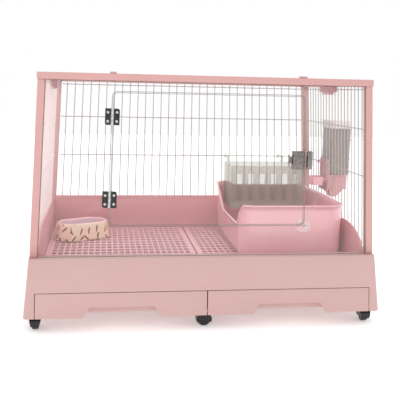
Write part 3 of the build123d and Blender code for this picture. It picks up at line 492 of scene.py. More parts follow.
def rod_row_tree():
    """Rods from Foot to Head, set out by Step, then leant inwards above the rim."""
    tree = bpy.data.node_groups.new("rods in a row", "GeometryNodeTree")
    given = sockets(
        tree,
        {
            "Foot": "NodeSocketVector",
            "Head": "NodeSocketVector",
            "Step": "NodeSocketVector",
            "Rods": "NodeSocketInt",
            "Radius": "NodeSocketFloat",
            "Lean": "NodeSocketFloat",
            "Rim": "NodeSocketFloat",
            "Finish": "NodeSocketMaterial",
        },
    )
    line = node(tree, "GeometryNodeCurvePrimitiveLine", {"Start": given["Foot"], "End": given["Head"]})
    profile = node(tree, "GeometryNodeCurvePrimitiveCircle", {"Radius": given["Radius"], "Resolution": 10})
    rod = node(
        tree,
        "GeometryNodeCurveToMesh",
        {"Curve": line.outputs["Curve"], "Profile Curve": profile.outputs["Curve"], "Fill Caps": True},
    )
    steps = {"Count": given["Rods"], "Offset": given["Step"]}
    spots = node(tree, "GeometryNodeMeshLine", steps, mode="OFFSET")
    copies = {"Points": spots.outputs["Mesh"], "Instance": rod.outputs["Mesh"]}
    row = node(tree, "GeometryNodeInstanceOnPoints", copies)
    real = node(tree, "GeometryNodeRealizeInstances", {"Geometry": row.outputs["Instances"]})
    at = node(tree, "ShaderNodeSeparateXYZ", {"Vector": node(tree, "GeometryNodeInputPosition").outputs[0]})
    above = node(tree, "ShaderNodeMath", {0: at.outputs["Z"], 1: given["Rim"]}, operation="SUBTRACT")
    loss = node(tree, "ShaderNodeMath", {0: above.outputs[0], 1: given["Lean"]}, operation="MULTIPLY")
    share = node(tree, "ShaderNodeMath", {0: 1.0, 1: loss.outputs[0]}, operation="SUBTRACT")
    across = node(tree, "ShaderNodeMath", {0: at.outputs["X"], 1: share.outputs[0]}, operation="MULTIPLY")
    leant = node(
        tree, "ShaderNodeCombineXYZ", {"X": across.outputs[0], "Y": at.outputs["Y"], "Z": at.outputs["Z"]}
    )
    moved = node(
        tree, "GeometryNodeSetPosition", {"Geometry": real.outputs[0], "Position": leant.outputs["Vector"]}
    )
    smooth = node(tree, "GeometryNodeSetShadeSmooth", {"Geometry": moved.outputs[0]})
    finish = {"Geometry": smooth.outputs[0], "Material": given["Finish"]}
    done = node(tree, "GeometryNodeSetMaterial", finish)
    node(tree, "NodeGroupOutput", {"Geometry": done.outputs[0]})
    return tree


def grown(tree, values, start=None):
    """The plain mesh that a Geometry Nodes tree makes from named input values."""
    seed = bpy.data.objects.new("seed", start or bpy.data.meshes.new("seed"))
    bpy.context.scene.collection.objects.link(seed)
    recipe = seed.modifiers.new("recipe", "NODES")
    recipe.node_group = tree
    places = {item.name: item.identifier for item in tree.interface.items_tree if item.in_out == "INPUT"}
    for name, value in values.items():
        recipe[places[name]] = value
    bpy.context.view_layer.update()
    mesh = bpy.data.meshes.new_from_object(seed.evaluated_get(bpy.context.evaluated_depsgraph_get()))
    bpy.data.objects.remove(seed)
    return mesh


def joined(name, meshes):
    """Several plain meshes as one."""
    builder = bmesh.new()
    for mesh in meshes:
        builder.from_mesh(mesh)
    whole = bpy.data.meshes.new(name)
    builder.to_mesh(whole)
    builder.free()
    for face in whole.polygons:
        face.use_smooth = True
    return whole


rod_row = rod_row_tree()


def rods(foot, head, step=(0, 0, 0), count=1, radius=wire_radius, lean=lean_rate):
    """A row of powder-coated rods; places in metres, counted at the rim where they lean."""
    values = {"Foot": foot, "Head": head, "Step": step, "Rods": count, "Radius": radius}
    values.update({"Lean": lean, "Rim": rim_z, "Finish": wire_coat})
    return grown(rod_row, values)


# %% Wire walls
wire_foot_z, wire_head_z = rim_z + 0.2 * MM, 534.8 * MM
cross_heights = [z * MM for z in (166.0, 331.5, 438.5, 528.0)]
weld_offset = 2.2 * MM
long_wires, side_wires = 31, 19


def back_wall():
    """The wires of the back wall."""
    y, reach = 239.5 * MM, 357 * MM
    start = -(long_wires // 2) * wire_pitch
    rows = [rods((start, y, wire_foot_z), (start, y, wire_head_z), (wire_pitch, 0, 0), long_wires)]
    for z in cross_heights:
        rows.append(rods((-reach, y - weld_offset, z), (reach, y - weld_offset, z)))
    return joined("back_wall_wires", rows)


def side_wall(side):
    """The wires of the left (-1) or right (+1) wall."""
    x, reach = side * 371 * MM, 226 * MM
    start = -(side_wires // 2) * wire_pitch
    rows = [rods((x, start, wire_foot_z), (x, start, wire_head_z), (0, wire_pitch, 0), side_wires)]
    for z in cross_heights:
        inner = x - side * weld_offset / (1 - lean_rate * (z - rim_z))
        rows.append(rods((inner, -reach, z), (inner, reach, z)))
    return joined("side_wall_wires", rows)


stands_for(as_piece("wires_back", back_wall(), wire_coat), "wire_wall_back")
# the left wall's lighter coat is painted light
stands_for(as_piece("wires_left", side_wall(-1), left_wire_coat_painted_light), "wire_wall_left")
stands_for(as_piece("wires_right", side_wall(1), wire_coat), "wire_wall_right")


# %% Roof panel
def roof_panel():
    """The hinged roof: a frame of thicker wire, long wires, and three wires across."""
    z, half_w, half_d = 544.5 * MM, 341 * MM, 226.5 * MM
    pitch = wire_pitch * (1 - lean_rate * (z - rim_z))
    start = -(long_wires // 2) * pitch
    thick, cross_step = 2.0 * MM, 113 * MM
    rows = [rods((start, -half_d, z), (start, half_d, z), (pitch, 0, 0), long_wires, lean=0)]
    rows.append(rods((-half_w, -half_d, z), (half_w, -half_d, z), (0, 2 * half_d, 0), 2, thick, 0))
    rows.append(rods((-half_w, -half_d, z), (-half_w, half_d, z), (2 * half_w, 0, 0), 2, thick, 0))
    under = z - weld_offset
    first, last = (-half_w, -cross_step, under), (half_w, -cross_step, under)
    rows.append(rods(first, last, (0, cross_step, 0), 3, lean=0))
    return joined("roof_wires", rows)


stands_for(as_piece("roof_wires", roof_panel(), wire_coat), "roof_panel")
print("wire walls and roof made")

# %% [markdown]
# ## Floor grids
# The animal stands on a perforated plate, so that droppings fall into the drawers. One cell, a
# hole with a softened upper edge, is repeated in a grid and merged into one skin. A plain
# border closes it round the outside.


# %% The recipe for a perforated plate
def cell_tree():
    """Copies of Cell on a grid of Columns by Rows, merged where they meet."""
    tree = bpy.data.node_groups.new("perforated plate", "GeometryNodeTree")
    given = sockets(
        tree,
        {
            "Cell": "NodeSocketObject",
            "Columns": "NodeSocketInt",
            "Rows": "NodeSocketInt",
            "Width": "NodeSocketFloat",
            "Depth": "NodeSocketFloat",
            "Middle": "NodeSocketVector",
            "Finish": "NodeSocketMaterial",
        },
    )
    spots = node(
        tree,
        "GeometryNodeMeshGrid",
        {
            "Size X": given["Width"],
            "Size Y": given["Depth"],
            "Vertices X": given["Columns"],
            "Vertices Y": given["Rows"],
        },
    )
    cell = node(tree, "GeometryNodeObjectInfo", {"Object": given["Cell"], "As Instance": True})
    placed = node(
        tree,
        "GeometryNodeInstanceOnPoints",
        {"Points": spots.outputs["Mesh"], "Instance": cell.outputs["Geometry"]},
    )
    real = node(tree, "GeometryNodeRealizeInstances", {"Geometry": placed.outputs["Instances"]})
    merged = node(tree, "GeometryNodeMergeByDistance", {"Geometry": real.outputs[0], "Distance": 0.02 * MM})
    shift = {"Geometry": merged.outputs[0], "Translation": given["Middle"]}
    moved = node(tree, "GeometryNodeTransform", shift)
    finish = {"Geometry": moved.outputs[0], "Material": given["Finish"]}
    done = node(tree, "GeometryNodeSetMaterial", finish)
    node(tree, "NodeGroupOutput", {"Geometry": done.outputs[0]})
    return tree


def rectangle(half_w, half_d, z):
    """Four corners of a level rectangle round the origin."""
    corners = ((-half_w, -half_d), (half_w, -half_d), (half_w, half_d), (-half_w, half_d))
    return [Vector((x, y, z)) for x, y in corners]


def strips(builder, rings, closed=False):
    """Quads between rings with the same number of points, each ring going round."""
    made = [[builder.verts.new(point) for point in ring] for ring in rings]
    pairs = list(zip(made, made[1:] + made[:1])) if closed else list(zip(made, made[1:]))
    for low, high in pairs:
        for i in range(len(low)):
            j = (i + 1) % len(low)
            builder.faces.new((low[i], low[j], high[j], high[i]))
    return made


def hole_cell(pitch, hole, thickness, chamfer):
    """One cell of a perforated plate: top, softened hole edge, hole wall and underside."""
    builder = bmesh.new()
    half, gap = (pitch[0] / 2, pitch[1] / 2), (hole[0] / 2, hole[1] / 2)
    rings = [
        rectangle(half[0], half[1], thickness),
        rectangle(gap[0] + chamfer, gap[1] + chamfer, thickness),
        rectangle(gap[0], gap[1], thickness - chamfer),
        rectangle(gap[0], gap[1], 0),
        rectangle(half[0], half[1], 0),
    ]
    strips(builder, rings)
    for face in builder.faces:
        face.normal_update()
    mesh = bpy.data.meshes.new("hole_cell")
    builder.to_mesh(mesh)
    builder.free()
    return mesh


def border(low, high, hole_low, hole_high, chamfer):
    """The plain border of a plate between its outer box and the box of its cells."""
    outer = [(low.x, low.y), (high.x, low.y), (high.x, high.y), (low.x, high.y)]
    inner = [
        (hole_low[0], hole_low[1]),
        (hole_high[0], hole_low[1]),
        (hole_high[0], hole_high[1]),
        (hole_low[0], hole_high[1]),
    ]
    middle = Vector(((low.x + high.x) / 2, (low.y + high.y) / 2))
    pulled = [
        (x - chamfer if x > middle.x else x + chamfer, y - chamfer if y > middle.y else y + chamfer)
        for x, y in outer
    ]
    builder = bmesh.new()
    rings = [
        [Vector((x, y, high.z)) for x, y in inner],
        [Vector((x, y, high.z)) for x, y in pulled],
        [Vector((x, y, high.z - chamfer)) for x, y in outer],
        [Vector((x, y, low.z)) for x, y in outer],
        [Vector((x, y, low.z)) for x, y in inner],
    ]
    strips(builder, rings, closed=True)
    return mesh_from("plate_border", builder)


cell_grid = cell_tree()


def perforated_plate(name, low, high, middle, pitch, hole, columns, rows, material):
    """A perforated plate between two corners, with its block of cells round a middle point."""
    seed_cell = bpy.data.objects.new("cell", hole_cell(pitch, hole, high.z - low.z, 0.7 * MM))
    bpy.context.scene.collection.objects.link(seed_cell)
    width, depth = pitch[0] * (columns - 1), pitch[1] * (rows - 1)
    values = {"Cell": seed_cell, "Columns": columns, "Rows": rows, "Width": width, "Depth": depth}
    values.update({"Middle": (middle[0], middle[1], low.z), "Finish": material})
    cells = grown(cell_grid, values)
    bpy.data.objects.remove(seed_cell)
    half = (pitch[0] * columns / 2, pitch[1] * rows / 2)
    cells_low = (middle[0] - half[0], middle[1] - half[1])
    cells_high = (middle[0] + half[0], middle[1] + half[1])
    edge = border(low, high, cells_low, cells_high, 0.8 * MM)
    whole = joined(name, [cells, edge])
    for face in whole.polygons:
        face.use_smooth = False
    return as_piece(name, whole, material)


# %% Floor grids
floor_pitch = (14.55 * MM, 27.7 * MM)
floor_hole = (10.8 * MM, 19.5 * MM)
floor_columns, floor_rows = 23, 16
for side, name in ((-1, "floor_grid_left"), (1, "floor_grid_right")):
    low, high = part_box(name)
    middle = (side * 180.8 * MM, -4 * MM)
    cells = (floor_pitch, floor_hole, floor_columns, floor_rows)
    plate = perforated_plate(name + "_plate", low, high, middle, *cells, grid_pp)
    stands_for(plate, name)
    print(name, "faces", len(plate.data.polygons))

# %% [markdown]
# ## The litter tray
# The tray is a thin moulded shell with a rolled lip. Its left side dips to let the animal walk
# in, and its back left corner stands up. It is made as rings that go round the tray: each ring
# is the same rounded rectangle a little larger or higher, and the top rings follow a rule for
# the height of the rim.


# %% Rounded loops
def rounded_loop(corners, radius, steps, spacing=None):
    """Points round a polygon with rounded corners, and along its sides where spacing is given."""
    points = []
    count = len(corners)
    for i in range(count):
        here, before, after = Vector(corners[i]), Vector(corners[i - 1]), Vector(corners[(i + 1) % count])
        back, ahead = (before - here).normalized(), (after - here).normalized()
        half_angle = back.angle(ahead) / 2
        reach = radius / max(0.05, abs(sin(half_angle) / cos(half_angle)))
        first, last = here + back * reach, here + ahead * reach
        centre = here + (back + ahead).normalized() * (radius / sin(half_angle))
        start, stop = first - centre, last - centre
        sweep = start.angle_signed(stop)
        for k in range(steps + 1):
            turned = start.copy()
            turned.rotate(Matrix.Rotation(-sweep * k / steps, 2))
            points.append(centre + turned)
    if spacing is None:
        return points
    filled = []
    for here, after in zip(points, points[1:] + points[:1]):
        parts = max(1, round((after - here).length / spacing))
        filled += [here.lerp(after, k / parts) for k in range(parts)]
    return filled


def box_corners(low, high, grow=0.0):
    """The corners of a level box, grown by a margin."""
    return [
        (low[0] - grow, low[1] - grow),
        (high[0] + grow, low[1] - grow),
        (high[0] + grow, high[1] + grow),
        (low[0] - grow, high[1] + grow),
    ]


# %% Litter tray
tray_low, tray_high = (96 * MM, -146 * MM), (346 * MM, 210 * MM)
tray_floor_z = floor_top_z
tray_rim_z, tray_peak_z, tray_entry_z = 252 * MM, 263 * MM, 203 * MM
tray_radius, tray_wall, tray_flare = 34 * MM, 2.6 * MM, 4 * MM
rim_drop = 4 * MM  # how far under the rim the plain wall ends
dip_x = tray_low[0] + 50 * MM  # the low way in lies left of this


def eased(value, start, stop):
    """0 at start and 1 at stop, with a smooth rise between."""
    share = min(1.0, max(0.0, (value - start) / (stop - start)))
    return share * share * (3 - 2 * share)


def tray_rim_height(x, y):
    """How high the rim stands at a place round the tray."""
    across = eased(x, dip_x, tray_low[0] + 26 * MM)
    plain = tray_rim_z + across * (tray_peak_z - tray_rim_z) * eased(y, 150 * MM, 172 * MM)
    if x > dip_x:
        return plain
    at_back = eased(y, 68 * MM, 170 * MM)
    at_front = eased(y, -110 * MM, -137 * MM)
    return tray_entry_z + max(at_back, at_front) * (plain - tray_entry_z)


def tray_loop(grow):
    """The tray's outline, larger or smaller than at its foot."""
    return rounded_loop(box_corners(tray_low, tray_high, grow), tray_radius + grow, 14, 6 * MM)


def litter_tray_mesh():
    """The whole shell: up the outside, over the lip, down the inside and across the floor."""
    plan = tray_loop(0)
    height = tray_peak_z - tray_floor_z
    tops = [tray_rim_height(p.x, p.y) for p in plan]
    normals = loop_normals(plan)

    def scaled(grow):
        """The plan moved outwards along its own normals."""
        return [p + n * grow for p, n in zip(plan, normals)]

    def flare_at(z):
        return tray_flare * (z - tray_floor_z) / height

    rows = []
    rows.append([Vector((*q, tray_floor_z)) for q in scaled(-4 * MM)])
    rows.append([Vector((*q, tray_floor_z + 1 * MM)) for q in scaled(-1.2 * MM)])
    for share in (0.03, 0.2, 0.45, 0.7, 0.9):
        rows.append(wall_row(plan, normals, tops, flare_at, share, 0))
    lip_out = (0.0, 2.6, 3.3, 3.3, 2.4, 1.0, -1.6, -2.6)
    lip_drop = (-4.2, -4.0, -3.0, -1.4, -0.3, 0.0, -0.3, -1.4)
    for out, drop in zip(lip_out, lip_drop):
        rows.append(
            [
                Vector((*(p + n * (flare_at(t) + out * MM)), t + drop * MM))
                for p, n, t in zip(plan, normals, tops)
            ]
        )
    for share in (0.9, 0.7, 0.45, 0.2, 0.08):
        rows.append(wall_row(plan, normals, tops, flare_at, share, -tray_wall))
    floor_z = tray_floor_z + tray_wall
    rows.append([Vector((*q, floor_z + 1.2 * MM)) for q in scaled(-tray_wall - 1 * MM)])
    rows.append([Vector((*q, floor_z)) for q in scaled(-tray_wall - 4 * MM)])
    builder = bmesh.new()
    made = strips(builder, rows)
    builder.faces.new(made[0][::-1])
    builder.faces.new(made[-1])
    return mesh_from("litter_tray", builder)


def loop_normals(loop):
    """Outward normals at the points of a loop that goes round anticlockwise."""
    normals = []
    for i in range(len(loop)):
        along = loop[(i + 1) % len(loop)] - loop[i - 1]
        normals.append(Vector((along.y, -along.x)).normalized())
    return normals


def wall_row(plan, normals, tops, flare_at, share, inset):
    """A ring on the tray's wall, a share of the way from its foot to under its rim."""
    row = []
    for p, n, top in zip(plan, normals, tops):
        z = tray_floor_z + share * (top - rim_drop - tray_floor_z)
        row.append(Vector((*(p + n * (flare_at(z) + inset)), z)))
    return row


tray = as_piece("litter_tray_shell", litter_tray_mesh(), tray_pp)
for face in tray.data.polygons:
    face.use_smooth = len(face.vertices) == 4
stands_for(tray, "litter_tray")
print("litter tray faces", len(tray.data.polygons))


# %% Litter grid
grid_low, grid_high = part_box("litter_grid")
grid_low = Vector((grid_low.x, grid_low.y, 146 * MM))
tray_middle = ((tray_low[0] + tray_high[0]) / 2, (tray_low[1] + tray_high[1]) / 2)


def litter_grid():
    """The raised grid in the tray: a perforated plate on four round feet."""
    inset = Vector((8 * MM, 8 * MM, 0))
    pitch, hole = (14 * MM, 20 * MM), (9.5 * MM, 13 * MM)
    columns, rows = 15, 15
    low, high = grid_low + inset, grid_high - inset
    cells = (pitch, hole, columns, rows)
    plate = perforated_plate("litter_grid_plate", low, high, tray_middle, *cells, tray_pp)
    feet = []
    for x in (-98 * MM, 98 * MM):
        for y in (-157 * MM, 157 * MM):
            foot = (tray_middle[0] + x, tray_middle[1] + y, tray_floor_z + tray_wall)
            feet.append(rods(foot, (foot[0], foot[1], grid_low.z), radius=4 * MM, lean=0))
    whole = joined("litter_grid_plate", [plate.data, *feet])
    bpy.data.objects.remove(plate)
    for face in whole.polygons:
        face.use_smooth = False
    return as_piece("litter_grid_plate", whole, tray_pp)


stands_for(litter_grid(), "litter_grid")

# %% [markdown]
# ## The food bowl
# A glazed bowl with eight sides and soft corners, wider at its foot. Its glaze carries a
# scatter of small orange roots with green tops. The print is worked out in the bowl's own UV
# map, in millimetres round the side, so that it follows the wall: each cell of a Voronoi
# pattern holds one stroke, turned by the cell's own random value.


# %% Glazed bowl finish
# The print's sizes are in millimetres, as its UV map is, and count from a stroke's own middle.
print_cell = 23.0
print_foot = 1.5  # the wall below this is plain
stroke_middle, stroke_half_length = -1.5, 6.5
stroke_tip_half, stroke_head_half = 1.1, 2.8
leaf_middle, leaf_half_length, leaf_half_width = 7.3, 1.7, 2.2


def printed_glaze(name, ground, root, leaf):
    """A cream glaze with a scattered print of tapered strokes, each with a short top."""
    material, tree, shader = new_material(name)
    place = node(tree, "ShaderNodeUVMap", uv_map="side_mm").outputs["UV"]
    spots = {"Vector": place, "Scale": 1 / print_cell, "Randomness": 0.45}
    cells = node(tree, "ShaderNodeTexVoronoi", spots, voronoi_dimensions="2D")
    chance = node(tree, "ShaderNodeSeparateColor", {"Color": cells.outputs["Color"]})
    offset = {0: place, 1: cells.outputs["Position"]}
    from_centre = node(tree, "ShaderNodeVectorMath", offset, operation="SUBTRACT")
    swing = {"Value": chance.outputs["Red"], "To Min": -0.9, "To Max": 0.9}
    angle = node(tree, "ShaderNodeMapRange", swing)
    spin = {"Vector": from_centre.outputs[0], "Angle": angle.outputs["Result"]}
    turned = node(tree, "ShaderNodeVectorRotate", spin, rotation_type="Z_AXIS")
    local = node(tree, "ShaderNodeSeparateXYZ", {"Vector": turned.outputs[0]})
    up = local.outputs["Y"]
    aside = node(tree, "ShaderNodeMath", {0: local.outputs["X"]}, operation="ABSOLUTE").outputs[0]
    taper = {
        "Value": up,
        "From Min": stroke_middle - stroke_half_length,
        "From Max": stroke_middle + stroke_half_length,
        "To Min": stroke_tip_half,
        "To Max": stroke_head_half,
    }
    stroke_half_width = node(tree, "ShaderNodeMapRange", taper).outputs["Result"]
    # only the outside of the wall is printed: the UV map's height is below zero elsewhere
    height = node(tree, "ShaderNodeSeparateXYZ", {"Vector": place}).outputs["Y"]
    outside = node(tree, "ShaderNodeMath", {0: height, 1: print_foot}, operation="GREATER_THAN")
    object_place = node(tree, "ShaderNodeTexCoord").outputs["Object"]
    speckle = node(tree, "ShaderNodeTexNoise", {"Vector": object_place, "Scale": 60.0, "Detail": 2.0})
    glaze = node(tree, "ShaderNodeMix", {"Factor": speckle.outputs["Fac"]}, data_type="RGBA")
    glaze.inputs["A"].default_value = linear(ground[0])
    glaze.inputs["B"].default_value = linear(ground[1])
    colour = glaze.outputs["Result"]
    marks = (
        (root, stroke_middle, stroke_half_length, stroke_half_width),
        (leaf, leaf_middle, leaf_half_length, leaf_half_width),
    )
    for code, middle, half_length, half_width in marks:
        span = {0: up, 1: middle, 2: half_length}
        along = node(tree, "ShaderNodeMath", span, operation="COMPARE").outputs[0]
        across = node(tree, "ShaderNodeMath", {0: aside, 1: half_width}, operation="LESS_THAN").outputs[0]
        mark = node(tree, "ShaderNodeMath", {0: along, 1: across}, operation="MULTIPLY").outputs[0]
        seen = {0: mark, 1: outside.outputs[0]}
        share = node(tree, "ShaderNodeMath", seen, operation="MULTIPLY").outputs[0]
        over = node(tree, "ShaderNodeMix", {"Factor": share, "A": colour}, data_type="RGBA")
        over.inputs["B"].default_value = linear(code)
        colour = over.outputs["Result"]
    tree.links.new(colour, shader.inputs["Base Color"])
    shader.inputs["Roughness"].default_value = 0.22
    shader.inputs["IOR"].default_value = 1.52
    shader.inputs["Coat Weight"].default_value = 0.5
    return material


bowl_glaze = printed_glaze(
    "cream_glazed_stoneware_printed", ground=("#FFECCF", "#FCE0C6"), root="#9A2A12", leaf="#1F2712"
)
bowl_inside = moulded_plastic("lavender_glaze_inside", "#EAD2DA", "#DFC6D0", 0.2, 2.0, 0.02, 0.5)
bowl_rim = moulded_plastic("pink_glaze_rim", "#FAD0D0", "#F4C2C2", 0.2, 2.0, 0.02, 0.5)


# %% Food bowl
def food_bowl():
    """The bowl as rings round its own middle, then turned and put in its place."""
    middle, turn_angle = Vector((-281 * MM, 98 * MM)), radians(27)
    height = 45 * MM
    foot_half_w, foot_half_d = 75 * MM, 44 * MM
    taper_w, taper_d = 9 * MM, 5 * MM
    corner_cut = 24 * MM

    def octagon(rise, inset, radius=9 * MM):
        """The bowl's outline at a share of its height."""
        half_w = foot_half_w - taper_w * rise - inset
        half_d = foot_half_d - taper_d * rise - inset
        cut = corner_cut - inset * 0.4
        corners = [
            (-half_w + cut, -half_d),
            (half_w - cut, -half_d),
            (half_w, -half_d + cut),
            (half_w, half_d - cut),
            (half_w - cut, half_d),
            (-half_w + cut, half_d),
            (-half_w, half_d - cut),
            (-half_w, -half_d + cut),
        ]
        return rounded_loop(corners, radius, 5)

    levels = [(0.0, 3.0, 0.0), (0.02, 0.6, 0.02)]
    levels += [(0.08, 0.0, 0.08), (0.35, 0.0, 0.35), (0.65, 0.0, 0.65), (0.9, 0.0, 0.9)]
    levels += [(0.97, 0.5, 0.97), (1.0, 2.0, 1.0), (1.0, 4.2, 1.0), (0.96, 5.6, 0.96)]
    levels += [(0.85, 6.0, 0.85), (0.5, 6.5, 0.5), (0.25, 8.0, 0.25), (0.17, 12.0, 0.17)]
    builder = bmesh.new()
    rings = []
    for rise, inset, level in levels:
        turned = []
        for p in octagon(rise, inset * MM):
            x = p.x * cos(turn_angle) - p.y * sin(turn_angle) + middle.x
            y = p.x * sin(turn_angle) + p.y * cos(turn_angle) + middle.y
            turned.append(Vector((x, y, floor_top_z + level * height)))
        rings.append(turned)
    side = builder.loops.layers.uv.new("side_mm")
    made = strips(builder, rings)
    bottom = builder.faces.new(made[0][::-1])
    inside = builder.faces.new(made[-1])
    ring_length = [0.0]
    for here, after in zip(rings[3], rings[3][1:] + rings[3][:1]):
        ring_length.append(ring_length[-1] + (after - here).length / MM)
    count = len(rings[0])
    for i, face in enumerate(f for f in builder.faces if f not in (bottom, inside)):
        row, column = divmod(i, count)
        printed = 1 <= row <= 5
        face.material_index = 0 if printed or row == 0 else (1 if row <= 9 else 2)
        for loop, (dr, dc) in zip(face.loops, ((0, 0), (0, 1), (1, 1), (1, 0))):
            rise = levels[row + dr][0] * height / MM
            loop[side].uv = (ring_length[column + dc], rise if printed else -50.0)
    inside.material_index = 2
    for face in (bottom, inside):
        for loop in face.loops:
            loop[side].uv = (0.0, -50.0)
    mesh = mesh_from("food_bowl", builder)
    for face in mesh.polygons:
        face.use_smooth = len(face.vertices) == 4
    return as_piece("food_bowl_glazed", mesh, bowl_glaze, bowl_rim, bowl_inside)


stands_for(food_bowl(), "food_bowl")
print("food bowl made")

# %% [markdown]
# ## Clear sheet and door
# Both are cut from the same acrylic. Their faces are clear, and their sawn edges, which gather
# light, take a second finish: every face that doesn't look to the front or the back.


# %% Sheet and door
def clear_panel(name):
    """A softened copy of a sheet with its sawn edges finished apart from its faces."""
    panel = plain_mesh(softened(name, 1.3, acrylic_face, acrylic_rim, segments=1, sharp=radians(50)))
    which = [0 if abs(face.normal.y) > 0.98 else 1 for face in panel.data.polygons]
    panel.data.polygons.foreach_set("material_index", which)
    print(name, "rim faces", sum(which), "finishes", len(panel.data.materials))
    return stands_for(panel, name)


for name in ("front_sheet", "door"):
    clear_panel(name)
stop = plain_mesh(softened("door_stop", 0.7, stop_acrylic))
stands_for(stop, "door_stop")

# %% [markdown]
# ## Screws
# A screw head is a low dome with a cross recess. One head is made, and Geometry Nodes puts it
# at each place, so that all of them stay alike.


# %% The recipe for scattered heads
def scatter_tree():
    """A copy of Head at every point of the mesh that carries the recipe."""
    tree = bpy.data.node_groups.new("heads at points", "GeometryNodeTree")
    given = sockets(
        tree, {"Points": "NodeSocketGeometry", "Head": "NodeSocketObject", "Finish": "NodeSocketMaterial"}
    )
    head = node(tree, "GeometryNodeObjectInfo", {"Object": given["Head"], "As Instance": True})
    copies = {"Points": given["Points"], "Instance": head.outputs["Geometry"]}
    placed = node(tree, "GeometryNodeInstanceOnPoints", copies)
    real = node(tree, "GeometryNodeRealizeInstances", {"Geometry": placed.outputs["Instances"]})
    done = node(tree, "GeometryNodeSetMaterial", {"Geometry": real.outputs[0], "Material": given["Finish"]})
    node(tree, "NodeGroupOutput", {"Geometry": done.outputs[0]})
    return tree


def round_ring(radius, y, sides):
    """Points round the Y axis."""
    spins = [2 * pi * k / sides for k in range(sides)]
    return [Vector((radius * cos(spin), y, radius * sin(spin))) for spin in spins]


def screw_mesh(radius, length):
    """A screw along -Y to +Y: domed head with a cross recess, shank, and a nut behind."""
    head_r, sides = radius * 1.9, 16
    profile = [(0.35, -1.3), (0.6, -1.4), (0.95, -1.1), (1.0, -0.6), (1.0, 0.0)]
    rings = [round_ring(head_r * share, y * MM, sides) for share, y in profile]
    rings += [round_ring(radius, y, sides) for y in (0.0, length)]
    builder = bmesh.new()
    made = strips(builder, rings)
    builder.faces.new(made[-1])
    # the cross recess: a floor sunk into the dome, with four arms from a star-shaped ring
    star = []
    for k in range(sides):
        arm = head_r * (0.34 if k % 4 == 0 else 0.12)
        spin = 2 * pi * k / sides
        star.append(builder.verts.new((arm * cos(spin), -0.7 * MM, arm * sin(spin))))
    for k in range(sides):
        builder.faces.new((made[0][k], made[0][(k + 1) % sides], star[(k + 1) % sides], star[k]))
    builder.faces.new(star)
    nut = strips(builder, [round_ring(radius * 1.8, y, 6) for y in (length, length + 1.6 * MM)])
    builder.faces.new(nut[0])
    builder.faces.new(nut[-1])
    return mesh_from("screw", builder)


scatter = scatter_tree()


def screws(name, places, radius, length, *stands):
    """Screws at a list of places, as one piece."""
    head = bpy.data.objects.new("head", screw_mesh(radius, length))
    bpy.context.scene.collection.objects.link(head)
    cloud = bpy.data.meshes.new("places")
    cloud.from_pydata([tuple(p) for p in places], [], [])
    mesh = grown(scatter, {"Head": head, "Finish": zinc}, cloud)
    bpy.data.objects.remove(head)
    return stands_for(as_piece(name, mesh, zinc), *stands)


# %% Hinge screws and the stop's screw
hinge_face_y, hinge_back_y = -246.4 * MM, -239.0 * MM
screw_length = hinge_back_y - hinge_face_y
hinge_heights = (282 * MM, 459 * MM)
screw_rise, screw_aside = 9.5 * MM, 9.4 * MM


def hinge_screw_places(side):
    """The four screw places on the sheet's side (-1) or the door's (+1)."""
    places = []
    for height in hinge_heights:
        for z in (height - screw_rise, height + screw_rise):
            x = hinge_line_x * (1 - lean_rate * (z - rim_z)) + side * screw_aside
            places.append((x, hinge_face_y, z))
    return places


screws("hinge_screws_on_sheet", hinge_screw_places(-1), 1.5 * MM, screw_length, "hinge_screws_fixed")
screws("hinge_screws_on_door", hinge_screw_places(1), 1.5 * MM, screw_length, "hinge_screws_door")
stop_place = (221.8 * MM, -244 * MM, 220 * MM)
screws("stop_screw", [stop_place], 2.0 * MM, 6.5 * MM, "door_stop_screw")
print("screws made")

# %% [markdown]
# ## The water tank
# A frosted bottle with two raised bands round it, which stiffen its thin walls. The bands are
# part of the same skin: the rings that go round the tank step out and in again.


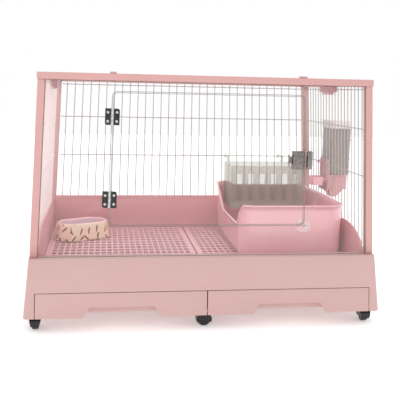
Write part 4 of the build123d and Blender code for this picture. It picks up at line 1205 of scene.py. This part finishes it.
# %% Water tank
def water_tank():
    """The tank's shell with two stiffening bands, open at the top under the cap."""
    low, high = (374 * MM, 45 * MM), (428 * MM, 125 * MM)
    foot_z, tall, corner = 301 * MM, 124.0, 8 * MM
    steps = [(0.0, -3.0), (0.6, -0.8), (2.4, 0.0)]
    for band in (40.0, 92.0):
        steps += [(band - 1.5, 0.0), (band, 0.9), (band + 4.0, 0.9), (band + 5.5, 0.0)]
    steps += [(tall, 0.0), (tall, -2.0)]
    steps += [(3.0, -2.0), (2.0, -5.0)]
    rings = []
    for rise, grow in steps:
        loop = rounded_loop(box_corners(low, high, grow * MM), corner + grow * MM, 6)
        rings.append([Vector((p.x, p.y, foot_z + rise * MM)) for p in loop])
    builder = bmesh.new()
    made = strips(builder, rings)
    builder.faces.new(made[0][::-1])
    builder.faces.new(made[-1])
    mesh = mesh_from("water_tank", builder)
    return as_piece("water_tank_banded", mesh, tank_plastic)


stands_for(water_tank(), "water_tank")

# %% [markdown]
# ## Exact parts that stay in view
# Wheels, forks, the hay rack, the cap, the cup, the roof's saddles and the hinge pins already
# have their real shape, so they only get their finish.

# %% Finishes on exact parts
for name in frame["nodes"]:
    if name.startswith("caster_"):
        finish_node(name, black_nylon)
finish_node("hay_rack", rack_plastic)
finish_node("water_cap", cap_pp)
finish_node("water_cup", tray_pp)
finish_node("roof_saddles", frame_abs)
finish_node("hinge_pins", zinc)

# %% [markdown]
# ## The floor
# A plain white sweep under the cage, which gives the wheels soft contact shadows. It glows a
# little, as if lit from below, so that it is as white as the surround. It isn't part of the
# object.


# %% Floor
def studio_floor():
    """A large level floor, a hair under the wheels."""
    builder = bmesh.new()
    half_width = 6.0
    bmesh.ops.create_grid(builder, x_segments=8, y_segments=8, size=half_width)
    mesh = bpy.data.meshes.new("studio_floor")
    builder.to_mesh(mesh)
    builder.free()
    mesh.transform(Matrix.Translation((0, 0, -0.2 * MM)))
    return mesh


paper = moulded_plastic("white_paper_sweep", "#FFFFFF", "#FBFAFA", 0.9, 8, 0.01)
paper_inputs = paper.node_tree.nodes["Principled BSDF"].inputs
paper_inputs["Emission Color"].default_value = (1, 1, 1, 1)
paper_inputs["Emission Strength"].default_value = 0.3
floor = as_piece("studio_floor", studio_floor(), paper)
